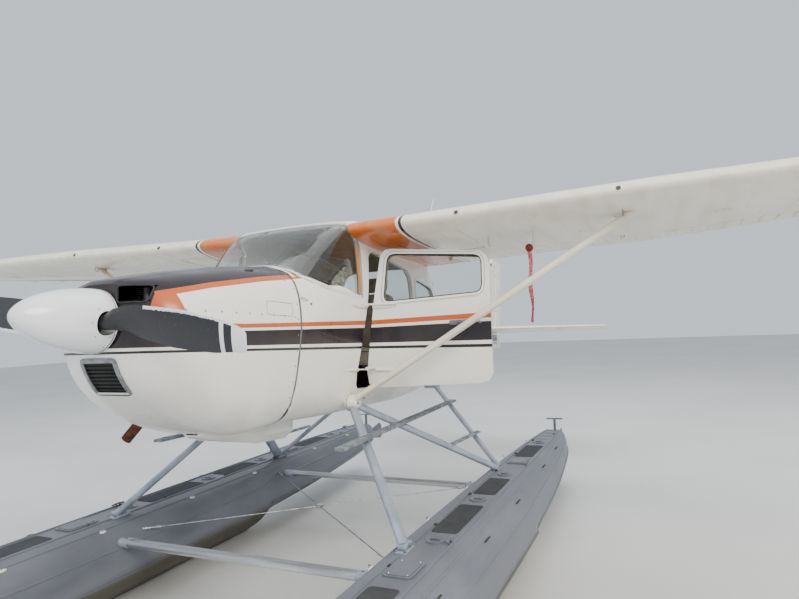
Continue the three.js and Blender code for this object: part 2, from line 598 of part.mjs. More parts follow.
function fitting(side, grow = 0) {
  const ball = new THREE.SphereGeometry(1, 14, 8);
  ball.scale(64 + grow, 84 + grow, 62 + grow);
  return solid(ball.translate(side * FITTING.x, FITTING.y, FITTING.z));
}

// Symmetric section between a leading and a trailing y, both at one span station.
function slab(lead, trail, thick, place) {
  const shape = [[0, 0], [0.03, 0.22], [0.12, 0.4], [0.3, 0.5], [0.55, 0.42], [0.8, 0.24], [1, 0.04]];
  return [...shape, ...shape.slice(1).reverse().map(([u, v]) => [u, -v])]
    .map(([u, v]) => place(lerp(lead, trail, u), v * thick));
}

function stabSolid(side, x0) {
  const at = (x, t) => {
    const [lead, trail, thick] = STAB.root.map((v, i) => lerp(v, STAB.tip[i], t));
    return slab(lead, trail, thick, (y, z) => V(side * x, y, STAB.z + z));
  };
  const tip = slab(STAB.tip[0] + 60, STAB.tip[1] - 20, 14, (y, z) => V(side * (STAB.x + 40), y, STAB.z + z));
  return loft([at(x0, x0 / STAB.x), at(STAB.x, 1), tip]);
}

function stabilizer(side) {
  return cut(stabSolid(side, 30), grown, box(-FAR, FAR, STAB.hinge - STAB.gap, 7000, 0, 600));
}

// The tube through the tail that joins both elevator halves, on their hinge axis.
function torqueTube(reach, radius) {
  return rod(V(-reach, STAB.hinge + 3, STAB.z), V(reach, STAB.hinge + 3, STAB.z), radius, 24);
}

function elevator() {
  const half = (side) => {
    const plan = [[105, STAB.hinge], [1800, STAB.hinge], [1800, 7000], [205, 7000], [195, 6640]];
    return stabSolid(side, 60).intersect(prismZ(plan.map(([x, y]) => [side * x, y]), 0, 600));
  };
  return union(half(1), half(-1), torqueTube(160, STAB.tube));
}

const hingeY = (z) => RUDDER.hy + RUDDER.lean * (z - RUDDER.z0);

function fin() {
  const at = (z, lead, thick) => slab(lead, hingeY(z) + 150, thick, (y, x) => V(x, y, z));
  const blade = loft([at(FIN.z0, FIN.le0, FIN.t0), at(FIN.z1, FIN.le1, FIN.t1)]);
  const dorsal = prismX([[4330, 330], [5560, 330], [5560, 580], [5480, 520]], -14, 14);
  const gap = RUDDER.r0 + RUN;
  const behind = [[hingeY(-100) - gap, -100], [hingeY(1600) - gap, 1600], [7600, 1600], [7600, -100]];
  return fixedTo(cut(union(blade, dorsal), prismX(behind, -FAR, FAR), grown), rudderBrackets());
}

const rudderBrackets = () => [600, 1180].map((z) => (
  bracket(V(0, hingeY(z), z), V(0, RUDDER.lean, 1), V(0, -1, RUDDER.lean).normalize(),
    RUDDER.r0 + RUN + 12, RUDDER.r0 + 5)));

function rudder() {
  const at = (z, trail, r) => {
    const y = hingeY(z);
    const nose = [90, 126, 162, 198, 234, 270].map((a) => [y + r * Math.cos(a * DEG), r * Math.sin(a * DEG)]);
    return [...nose, [trail, -3], [trail, 3]].map(([u, x]) => V(x, u, z));
  };
  const leaf = loft([at(RUDDER.z0, RUDDER.te0, RUDDER.r0), at(RUDDER.z1, RUDDER.te1, RUDDER.r1)]);
  const half = RUDDER.r1 - 2;
  const horn = prismX([[6225, 1324], [6520, 1324], [6540, 1440], [6290, 1440]], -half, half);
  return movedBy(union(leaf, horn), rudderBrackets());
}

// An airframe point in the level frame of the floats.
const level = (p) => V(p.x, p.y * Math.cos(PITCH) + p.z * Math.sin(PITCH) - ORIGIN.y,
  -p.y * Math.sin(PITCH) + p.z * Math.cos(PITCH) + ORIGIN.z);
const AFT = -ORIGIN.y;           // from airframe stations to the part's own y

function floatLoop(side, row) {
  const s = Object.fromEntries(row.map((v, i) => [FLOAT_KEYS[i], v]));
  const beam = FLOAT.beam * s.w, deck = Math.min(FLOAT.deck, beam * 0.42);
  const topside = FLOAT_SIDE.map(([u, h]) => [Math.max(beam * u, deck + 4), lerp(s.chine, s.deck, h)]);
  const bottom = [[beam * 0.55, lerp(s.keel, s.chine, 0.42)], [Math.min(FLOAT.keel, beam * 0.3), s.keel]];
  const half = [[deck, s.deck], ...topside, ...bottom];
  return [...half, ...half.slice().reverse().map(([x, z]) => [-x, z])]
    .map(([x, z]) => V(side * FLOAT.x + x, s.y + AFT, z));
}

const POST = { y: 4262, z0: 362, z1: 720, r: 17, lugs: [372, 540], lug: 26, lugThick: 16 };
const BLADE_PIN = { y: 4332, z: 440, r: 8 };

function floatHull(side) {
  const part = (rows) => loft(rows.map((row) => floatLoop(side, row)));
  const at = (z) => V(side * FLOAT.x, POST.y + AFT, z);
  const lugs = POST.lugs.map((z) => {
    const top = z + POST.lugThick;
    return union(box(at(0).x - POST.lug, at(0).x + POST.lug, 4190 + AFT, at(0).y, z, top),
      rod(at(z), at(top), POST.lug));
  });
  return cut(union(part(FOREBODY), part(AFTERBODY), ...lugs), rod(at(0), at(HIGH), POST.r + 1, 16));
}

const bladePin = (side, half, radius) => rod(V(side * FLOAT.x - half, BLADE_PIN.y + AFT, BLADE_PIN.z),
  V(side * FLOAT.x + half, BLADE_PIN.y + AFT, BLADE_PIN.z), radius);

function rudderPost(side) {
  const x = side * FLOAT.x, y = POST.y + AFT;
  const post = rod(V(x, y, POST.z0), V(x, y, POST.z1), POST.r, 12);
  const tiller = box(x - 95, x + 95, y - 12, y + 12, POST.z1 - 14, POST.z1);
  const cheeks = [-1, 1].map((s) => (
    box(x + s * 7, x + s * 15, y - 2, BLADE_PIN.y + 25 + AFT, BLADE_PIN.z - 26, BLADE_PIN.z + 26)));
  const collar = rod(V(x, y, POST.lugs[0] + 17), V(x, y, POST.lugs[0] + 30), POST.r + 6, 12);
  return union(post, tiller, ...cheeks, collar, bladePin(side, 18, BLADE_PIN.r));
}

// Raised clear of the floor; its outline is [y, z] from the pin.
const RUDDER_BLADE = [[-24, -24], [-24, 20], [20, 28], [120, 60], [330, 95], [372, 60], [385, -70],
  [350, -118], [170, -90], [20, -30]];

function waterRudder(side) {
  const x = side * FLOAT.x;
  const plate = prismX(RUDDER_BLADE.map(([y, z]) => [BLADE_PIN.y + AFT + y, BLADE_PIN.z + z]), x - 5, x + 5);
  return cut(plate, bladePin(side, 20, BLADE_PIN.r + 0.5));
}

// Feet of the float struts on the deck, and the rear strut's end on the belly
const BASE = { x: 1154, front: 83, rear: 2111, z: 620 };
const REAR_FITTING = V(392, 2660, -425);

function strutEnds(side, grow) {
  const mirror = (p) => V(side * p.x, p.y, p.z);
  const top = level(mirror(FITTING)), rearTop = level(mirror(REAR_FITTING));
  const [front, rear] = [BASE.front, BASE.rear].map((y) => V(side * BASE.x, y + AFT, BASE.z));
  return [strut(front, top, 92, 42, grow), strut(rear.clone().add(V(0, -40, 0)), top, 84, 40, grow),
    strut(rear.clone().add(V(0, 30, 0)), rearTop, 84, 40, grow)];
}

// The level-frame body that the struts end against.
function placed(body) {
  const m = new THREE.Matrix4().makeRotationX(-PITCH).setPosition(0, -ORIGIN.y, ORIGIN.z);
  return solid(geometryOf(body).applyMatrix4(m));
}

function floatStruts(side, hullAbove) {
  const pads = [BASE.front, BASE.rear].map((y) => (
    box(side * BASE.x - 46, side * BASE.x + 46, y - 85 + AFT, y + 85 + AFT, 560, 650)));
  const block = placed(fitting(side));
  const bracket = placed(box(side * 300, side * 440, 2610, 2710, -470, -400));
  const step = strut(V(side * 905, 1560 + AFT, 913), V(side * 925, 2330 + AFT, 895), 60, 26);
  const all = union(block, ...strutEnds(side, 0), ...pads, bracket, step);
  return cut(all, hullAbove, placed(grown));
}

function boardingStep(side, struts) {
  const front = level(V(side * 742, 130, -752)), rear = level(V(side * 628, 2560, -588));
  const board = loft([front, rear].map((end) => [[-34, -9], [34, -9], [34, 9], [-34, 9]]
    .map(([u, v]) => end.clone().add(V(u, 0, v)))));
  return cut(board, ...struts);
}

function spreader(y, hulls) {
  return cut(strut(V(-1060, y + AFT, 490), V(1060, y + AFT, 490), 118, 52), ...hulls);
}

function braceWires(hulls) {
  const rods = [1, -1].map((s) => rod(V(s * 1040, 110 + AFT, 520), V(-s * 1040, 1890 + AFT, 520), 6, 8));
  const buckle = rod(V(0, 1000 + AFT, 508), V(0, 1000 + AFT, 532), 26, 12);
  return cut(union(...rods, buckle), ...hulls);
}

function pitotTube() {
  const mast = box(1752, 1764, 1180, 1240, 560, 760);
  const tube = rod(V(1758, 1060, 572), V(1758, 1230, 572), 10, 12);
  return cut(union(mast, tube), wingSolid(1).translate(0, 0, -GAP));
}

function paint(color, roughness = 0.35, metalness = 0) {
  return new THREE.MeshStandardMaterial({ color, roughness, metalness });
}
const FINISH = {
  white: paint(0xe9e6dc), cream: paint(0xe6e1d2), spinner: paint(0xeef0f2), blade: paint(0x2b2d30, 0.4),
  filter: paint(0x1d1d1e, 0.7), engine: paint(0x6d6f70, 0.5, 0.6), rust: paint(0x5a3a26, 0.9, 0.3),
  glass: Object.assign(paint(0xbfd0cf, 0.05), { transparent: true, opacity: 0.35 }),
  trim: paint(0x3a3b3d, 0.6), seat: paint(0x8d8578, 0.9), floor: paint(0x6a6e73, 0.8),
  hull: paint(0x6b7380, 0.5, 0.4), strut: paint(0xa9b0bd, 0.35, 0.3), bright: paint(0xc3c6ca, 0.3, 0.9),
  steel: paint(0xa4a7aa, 0.4, 0.8),
};

const root = new THREE.Group();
const airframe = new THREE.Group();
airframe.rotation.x = -PITCH;
airframe.position.set(0, -ORIGIN.y, ORIGIN.z);
root.add(airframe);

function add(parent, name, body, finish) {
  const mesh = new THREE.Mesh(geometryOf(body), FINISH[finish]);
  mesh.name = name;
  parent.add(mesh);
}

const skin = cowlSkin();
add(airframe, 'cowl_upper', skin.intersect(box(-FAR, FAR, COWL.front, 60, 0.2, HIGH)), 'white');
add(airframe, 'cowl_lower', cowlLower(skin), 'white');
add(airframe, 'air_filter', airFilter(), 'filter');
add(airframe, 'engine_block', engineBlock(), 'engine');
add(airframe, 'exhaust_stack', exhaustStack(), 'rust');
add(airframe, 'propeller', propeller(), 'blade');
add(airframe, 'spinner', spinner(), 'spinner');
add(airframe, 'firewall', firewall(), 'engine');
add(airframe, 'cowl_deck', shell.intersect(prismX(DECK, -FAR, FAR)), 'white');
add(airframe, 'windshield', pane.intersect(prismX(offset(WINDSHIELD, -0.6), -FAR, FAR)), 'glass');
add(airframe, 'roof', roof(), 'white');
add(airframe, 'belly_floor', bellyFloor(), 'white');
add(airframe, 'rear_bulkhead', rearBulkhead(), 'trim');
add(airframe, 'tail_deck', tailDeck(), 'white');
add(airframe, 'tailcone', tailcone(), 'white');
add(airframe, 'back_window', pane.intersect(prismX(offset(BACK_WINDOW, -GAP), -FAR, FAR)), 'glass');
add(airframe, 'instrument_panel', instrumentPanel(), 'trim');
add(airframe, 'rear_bench', rearBench(), 'seat');
add(airframe, 'fin', fin(), 'white');
add(airframe, 'rudder', rudder(), 'white');
add(airframe, 'elevator', elevator(), 'white');
add(airframe, 'pitot_tube', pitotTube(), 'steel');

const hullAbove = {}, hullShift = [];
for (const side of [1, -1]) {
  const word = side > 0 ? 'left' : 'right';
  add(airframe, `front_side_${word}`, frontSide(side), 'white');
  add(airframe, `rear_side_${word}`, rearSide(side), 'white');
  add(airframe, `side_window_${word}`, windowPane(side, SIDE_WINDOW), 'glass');
  add(airframe, `seat_${word}`, frontSeat(side), 'seat');
  add(airframe, `yoke_${word}`, yoke(side), 'trim');
  add(airframe, `wing_${word}`, wing(side), 'cream');
  add(airframe, `flap_${word}`, flap(side), 'cream');
  add(airframe, `aileron_${word}`, aileron(side), 'cream');
  add(airframe, `wing_strut_${word}`, wingStrut(side), 'cream');
  add(airframe, `stabilizer_${word}`, stabilizer(side), 'white');

  const door = new THREE.Group();
  door.position.set(side * HINGE.x, HINGE.y, 0);
  door.rotation.z = -side * DOOR_OPEN[side] * DEG;
  airframe.add(door);
  const panel = cut(shell.intersect(sidePrism(side, DOOR)), sidePrism(side, DOOR_WINDOW));
  const leaf = union(panel, ...doorStraps(side));
  const toPin = [-side * HINGE.x, -HINGE.y, 0];
  add(door, `door_${word}`, leaf.translate(...toPin), 'white');
  add(door, `door_window_${word}`, windowPane(side, DOOR_WINDOW).translate(...toPin), 'glass');

  const hull = floatHull(side);
  add(root, `float_${word}`, hull, 'hull');
  add(root, `water_rudder_post_${word}`, rudderPost(side), 'steel');
  add(root, `water_rudder_${word}`, waterRudder(side), 'steel');
  hullAbove[side] = hull.translate(0, 0, GAP);
  hullShift.push(hull.translate(-side * GAP, 0, 0));
  const struts = strutEnds(side, GAP);
  add(root, `float_struts_${word}`, floatStruts(side, hullAbove[side]), 'strut');
  add(root, `boarding_step_${word}`, boardingStep(side, struts), 'strut');
}
add(root, 'spreader_front', spreader(-26, hullShift), 'bright');
add(root, 'spreader_rear', spreader(2002, hullShift), 'bright');
add(root, 'brace_wires', braceWires(hullShift), 'steel');

export default root;
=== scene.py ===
import json
import math

import bmesh
import bpy
import numpy as np
from mathutils import Matrix
from mathutils.bvhtree import BVHTree


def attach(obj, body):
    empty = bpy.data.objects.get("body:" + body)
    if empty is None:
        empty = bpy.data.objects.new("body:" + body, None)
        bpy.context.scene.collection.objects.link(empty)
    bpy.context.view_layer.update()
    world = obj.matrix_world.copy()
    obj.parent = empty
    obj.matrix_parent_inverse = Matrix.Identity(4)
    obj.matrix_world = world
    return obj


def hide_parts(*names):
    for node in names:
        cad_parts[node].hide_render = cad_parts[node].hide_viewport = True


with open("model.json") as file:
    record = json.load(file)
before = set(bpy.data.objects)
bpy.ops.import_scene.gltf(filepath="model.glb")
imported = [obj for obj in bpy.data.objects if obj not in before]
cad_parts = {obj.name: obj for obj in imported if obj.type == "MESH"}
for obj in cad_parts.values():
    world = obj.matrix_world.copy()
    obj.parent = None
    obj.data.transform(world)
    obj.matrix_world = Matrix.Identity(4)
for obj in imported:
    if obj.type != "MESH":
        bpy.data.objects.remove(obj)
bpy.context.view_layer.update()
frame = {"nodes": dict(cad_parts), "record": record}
nodes = frame["nodes"]
bodyOf = {n: b for b, names in frame["record"]["behaviour"]["bodies"].items() for n in names}
print("frame loaded,", len(nodes), "nodes")

# Airframe coordinates: level, in metres, y = 0 at the cowl seam and z = 0 on the thrust line.
# The aeroplane sits nose-up over its level floats.
attitude = {"pitch": math.radians(4.5), "aft": -2.53496, "up": 1.947}
airToRow = (Matrix.Translation((0, attitude["aft"], attitude["up"]))
            @ Matrix.Rotation(-attitude["pitch"], 4, "X"))
rowToAir = airToRow.inverted()
inRow = Matrix.Identity(4)                                    # for parts worked out in the frame itself
levelToRow = Matrix.Translation((0, attitude["aft"], 0))      # float stations, still level
doorSwing = {"x": 0.572, "y": 0.852, 1: math.radians(82), -1: 0.0}


def closedToRow(side):
    # places a point of the shut door where the door stands in the frame
    pin = Matrix.Translation((side * doorSwing["x"], doorSwing["y"], 0))
    return airToRow @ pin @ Matrix.Rotation(-side * doorSwing[side], 4, "Z") @ pin.inverted()


def moved(matrix, points):
    m = np.array(matrix)
    return np.asarray(points, float) @ m[:3, :3].T + m[:3, 3]


def turned(matrix, vectors):
    return np.asarray(vectors, float) @ np.array(matrix)[:3, :3].T


def matched(a, b):
    return np.broadcast_arrays(np.asarray(a, float), np.asarray(b, float))


def unit(v):
    v = np.asarray(v, float)
    return v / np.maximum(np.linalg.norm(v, axis=-1, keepdims=True), 1e-12)


# Materials

def linear(code):
    c = np.array([int(code[i:i + 2], 16) for i in (1, 3, 5)]) / 255
    return (*np.where(c <= 0.04045, c / 12.92, ((c + 0.055) / 1.055) ** 2.4), 1.0)


def addNode(tree, kind, inputs=(), out=0, stops=None, **settings):
    # adds a node with its settings, links or sets its inputs (by name or in order), returns one output
    made = tree.nodes.new("ShaderNode" + kind)
    for key, value in settings.items():
        setattr(made, key, value)
    for key, value in inputs.items() if isinstance(inputs, dict) else enumerate(inputs):
        if isinstance(value, bpy.types.NodeSocket):
            tree.links.new(value, made.inputs[key])
        else:
            made.inputs[key].default_value = value
    if stops:
        made.color_ramp.interpolation = "CONSTANT"
        cells = made.color_ramp.elements
        while len(cells) < len(stops):
            cells.new(0.5)
        for cell, (place, shade) in zip(cells, stops):
            cell.position, cell.color = place, linear(shade)
    return made.outputs[out] if len(made.outputs) else made


def newTree(name):
    material = bpy.data.materials.new(name)
    material.use_nodes = True
    tree = material.node_tree
    tree.nodes.clear()
    return material, tree, addNode(tree, "TexCoord", out=3)


def finish(material, colour, rough, bump=None, constants=()):
    # rough: a noise, the part of its range to use and the roughness at both ends of that; bump: a height,
    # its strength and its distance; constants go straight to the shader's sockets
    tree = material.node_tree
    inputs = {"Base Color": colour, "Roughness": addNode(tree, "MapRange", rough), **dict(constants)}
    if bump:
        inputs["Normal"] = addNode(tree, "Bump", dict(zip(("Height", "Strength", "Distance"), bump)))
    addNode(tree, "OutputMaterial", {"Surface": addNode(tree, "BsdfPrincipled", inputs)})
    return material


trimPaint = {
    "white": "#efede7", "grime": "#a99f8b", "orange": "#c05a28", "dark": "#1f151c", "black": "#121113",
    "low": [(-1.1, -0.17), (0.87, -0.1135), (1.77, -0.12), (6.3, 0.088)],
    "high": [(-1.1, -0.03), (-0.47, 0.001), (0.87, 0.097), (1.77, 0.128), (6.3, 0.262)],
    "edges": (0.0, 0.095, 0.205, 0.745, 0.845, 1.0),       # pin, dark and orange stripes
    "glare": [(-1.1, 0.1), (-0.951, 0.145), (-0.672, 0.214), (-0.247, 0.298), (0.442, 0.412)],
    "glareEdge": 0.03, "glareEnd": 0.5,
    "flare": -0.855, "flareLean": 0.15, "mouth": -0.952, "mouthHalf": 0.318,
}


def trimFields(p):
    # how far each point lies into each painted zone, from airframe coordinates with the doors shut
    t = trimPaint
    x, y, z = np.abs(p[:, 0]), p[:, 1], p[:, 2]
    low, high, glare = (np.interp(y, *np.array(t[k]).T) for k in ("low", "high", "glare"))
    share = (z - low) / (high - low)
    top = np.minimum(z - glare, t["glareEnd"] - y)
    flare = np.minimum(t["flare"] - y - t["flareLean"] * z, (share - t["edges"][4]) * 0.14)
    mouth = np.minimum(np.minimum(t["mouth"] - y, z + 0.13), t["mouthHalf"] - x)
    return np.stack([0.2 + 0.6 * share, top, flare], -1), mouth


def makeEnamel(name):
    # Enamel on riveted aluminium sheet: glossy, slightly wavy panels, grime low down.
    paint = trimPaint
    material, tree, place = newTree(name)
    field = addNode(tree, "SeparateXYZ", (addNode(tree, "Attribute", out=1, attribute_name="trimField"),))
    share, glare, flare = field.node.outputs
    mouth = addNode(tree, "Attribute", out=2, attribute_name="noseField")
    at = [0.2 + 0.6 * e for e in paint["edges"]]
    shades = [paint[k] for k in ("black", "white", "dark", "white", "orange", "white")]
    colour = addNode(tree, "ValToRGB", (share,), stops=[(0, paint["white"]), *zip(at, shades)])
    inFlare, inEdge, inGlare, inMouth = (
        addNode(tree, "Math", (value, limit), operation="GREATER_THAN")
        for value, limit in ((flare, 0.0), (glare, -paint["glareEdge"]), (glare, 0.0), (mouth, 0.0)))
    isDark = addNode(tree, "Math", (inGlare, inMouth), operation="MAXIMUM")
    height = addNode(tree, "SeparateXYZ", (place,)).node.outputs[2]
    patches = addNode(tree, "TexNoise", {"Vector": place, "Scale": 4.0, "Detail": 6.0})      # 250 mm
    lowDown = addNode(tree, "MapRange", (height, 1.25, 1.75, 0.42, 0.035))
    dirt = addNode(tree, "MapRange", (patches, 0.42, 0.72, 0.0, lowDown))
    for mask, shade in ((inFlare, "orange"), (inEdge, "orange"), (isDark, "dark"), (dirt, "grime")):
        colour = addNode(tree, "Mix", {0: mask, 6: colour, 7: linear(paint[shade])}, 2, data_type="RGBA")
    waves = addNode(tree, "TexNoise", {"Vector": place, "Scale": 3.0, "Detail": 1.0})        # 330 mm
    return finish(material, colour, (patches, 0.3, 0.7, 0.2, 0.38), (waves, 0.25, 0.012),
                  {"IOR": 1.5, "Coat Weight": 0.2, "Coat Roughness": 0.07})


wingTrim = {"cream": "#efe9da", "grime": "#b7a98c", "orange": "#cf6a26", "white": "#f0ede5",
            "black": "#17151a", "cuff": 0.872, "line": 0.897, "end": 0.918, "widest": 6.0}


def makeWingEnamel(name):
    # Cream enamel on the wing's sheet: a little duller than the body, streaked fore and aft by oil and rain.
    paint = wingTrim
    material, tree, place = newTree(name)
    across = addNode(tree, "SeparateXYZ", (place,)).node.outputs[0]
    half = addNode(tree, "Math", (across,), operation="ABSOLUTE")
    share = addNode(tree, "Math", (half, paint["widest"]), operation="DIVIDE")
    colour = addNode(tree, "ValToRGB", (share,), stops=[
        (0, paint["orange"]), (paint["cuff"] / paint["widest"], paint["white"]),
        (paint["line"] / paint["widest"], paint["black"]), (paint["end"] / paint["widest"], paint["cream"])])
    drawn = addNode(tree, "Mapping", {"Vector": place, "Scale": (1, 0.12, 1)})
    streaks = addNode(tree, "TexNoise", {"Vector": drawn, "Scale": 9.0, "Detail": 6.0})         # 110 mm wide
    dirt = addNode(tree, "MapRange", (streaks, 0.45, 0.75, 0.0, 0.35))
    colour = addNode(tree, "Mix", {0: dirt, 6: colour, 7: linear(paint["grime"])}, 2, data_type="RGBA")
    waves = addNode(tree, "TexNoise", {"Vector": place, "Scale": 3.0, "Detail": 1.0})
    return finish(material, colour, (streaks, 0.3, 0.7, 0.24, 0.42), (waves, 0.25, 0.012),
                  {"IOR": 1.5, "Coat Weight": 0.3, "Coat Roughness": 0.1})


hullPaint = {"blue": "#62666f", "chalk": "#7b7f87", "stain": "#4a4632", "line": 0.3, "fade": 0.09}


def makeHullPaint(name):
    # Chalky blue-grey paint on aluminium: matt patches, and a brown-green stain up to the waterline.
    paint = hullPaint
    material, tree, place = newTree(name)
    height = addNode(tree, "SeparateXYZ", (place,)).node.outputs[2]
    drawn = addNode(tree, "Mapping", {"Vector": place, "Scale": (1, 0.35, 1)})
    patches = addNode(tree, "TexNoise", {"Vector": drawn, "Scale": 5.0, "Detail": 7.0})         # 200 mm
    chalked = addNode(tree, "MapRange", (patches, 0.32, 0.78))
    colour = addNode(tree, "Mix", {0: chalked, 6: linear(paint["blue"]), 7: linear(paint["chalk"])}, 2,
                     data_type="RGBA")
    lapping = addNode(tree, "Math", (patches, -0.16, height), operation="MULTIPLY_ADD")
    line = paint["line"] - 0.08
    wet = addNode(tree, "MapRange", (lapping, line - paint["fade"], line, 0.9, 0.0))
    colour = addNode(tree, "Mix", {0: wet, 6: colour, 7: linear(paint["stain"])}, 2, data_type="RGBA")
    specks = addNode(tree, "TexNoise", {"Vector": place, "Scale": 160.0, "Detail": 2.0})        # 6 mm
    return finish(material, colour, (patches, 0.3, 0.75, 0.32, 0.55), (specks, 0.15, 0.002),
                  {"Metallic": 0.25})


def makeFinish(name, shade, second, rough, metal=0.0, size=0.1, grain=0.004, lift=0.15, stretch=(1, 1, 1),
               constants=()):
    # One finish in two tones: patches of one size, and a finer grain that only lifts the surface.
    material, tree, place = newTree(name)
    drawn = addNode(tree, "Mapping", {"Vector": place, "Scale": stretch})
    patches = addNode(tree, "TexNoise", {"Vector": drawn, "Scale": 1 / size, "Detail": 6.0})
    worn = addNode(tree, "MapRange", (patches, 0.36, 0.68))
    colour = addNode(tree, "Mix", {0: worn, 6: linear(shade), 7: linear(second)}, 2, data_type="RGBA")
    fine = addNode(tree, "TexNoise", {"Vector": drawn, "Scale": 1 / grain, "Detail": 2.0})
    return finish(material, colour, (patches, 0.3, 0.7, *rough), (fine, lift, grain * 0.4),
                  {"Metallic": metal, **dict(constants)})


def makeBladePaint(name):
    # Matt charcoal on the blades, a white stripe along the leading edge and two at the tip, stone-chipped.
    material, tree, place = newTree(name)
    field = addNode(tree, "SeparateXYZ", (addNode(tree, "Attribute", out=1, attribute_name="bladeField"),))
    reach, lead = field.node.outputs[:2]
    tip = addNode(tree, "ValToRGB", (reach,), stops=[
        (0, "#26272b"), (0.853, "#e9eaec"), (0.878, "#202125"), (0.918, "#e9eaec")])
    chips = addNode(tree, "TexNoise", {"Vector": place, "Scale": 90.0, "Detail": 4.0})          # 11 mm
    ragged = addNode(tree, "Math", (chips, 0.06, lead), operation="MULTIPLY_ADD")
    onEdge = addNode(tree, "Math", (ragged, 0.93), operation="GREATER_THAN")
    outboard = addNode(tree, "Math", (reach, 0.42), operation="GREATER_THAN")
    stripe = addNode(tree, "Math", (onEdge, outboard), operation="MULTIPLY")
    colour = addNode(tree, "Mix", {0: stripe, 6: tip, 7: linear("#dfe1e3")}, 2, data_type="RGBA")
    worn = addNode(tree, "MapRange", (chips, 0.62, 0.74, 0.0, 0.35))
    colour = addNode(tree, "Mix", {0: worn, 6: colour, 7: linear("#6d7076")}, 2, data_type="RGBA")
    return finish(material, colour, (chips, 0.3, 0.7, 0.34, 0.5), (chips, 0.1, 0.002))


def makeAcrylic(name, tint, rough):
    # Acrylic sheet: clear with a faint grey-green tint and fine wiping marks.
    material, tree, place = newTree(name)
    wiped = addNode(tree, "TexNoise", {"Vector": place, "Scale": 6.0, "Detail": 5.0})           # 170 mm
    return finish(material, linear(tint), (wiped, 0.4, 0.8, rough, rough + 0.03),
                  constants={"IOR": 1.49, "Specular IOR Level": 0.3, "Transmission Weight": 1.0})


finishes = {
    "enamel": makeEnamel("body_enamel"),
    "wing": makeWingEnamel("wing_enamel"),
    "hull": makeHullPaint("hull_paint"),
    "blade": makeBladePaint("blade_paint"),
    "glass": makeAcrylic("acrylic_sheet", "#eef3f2", 0.01),
}
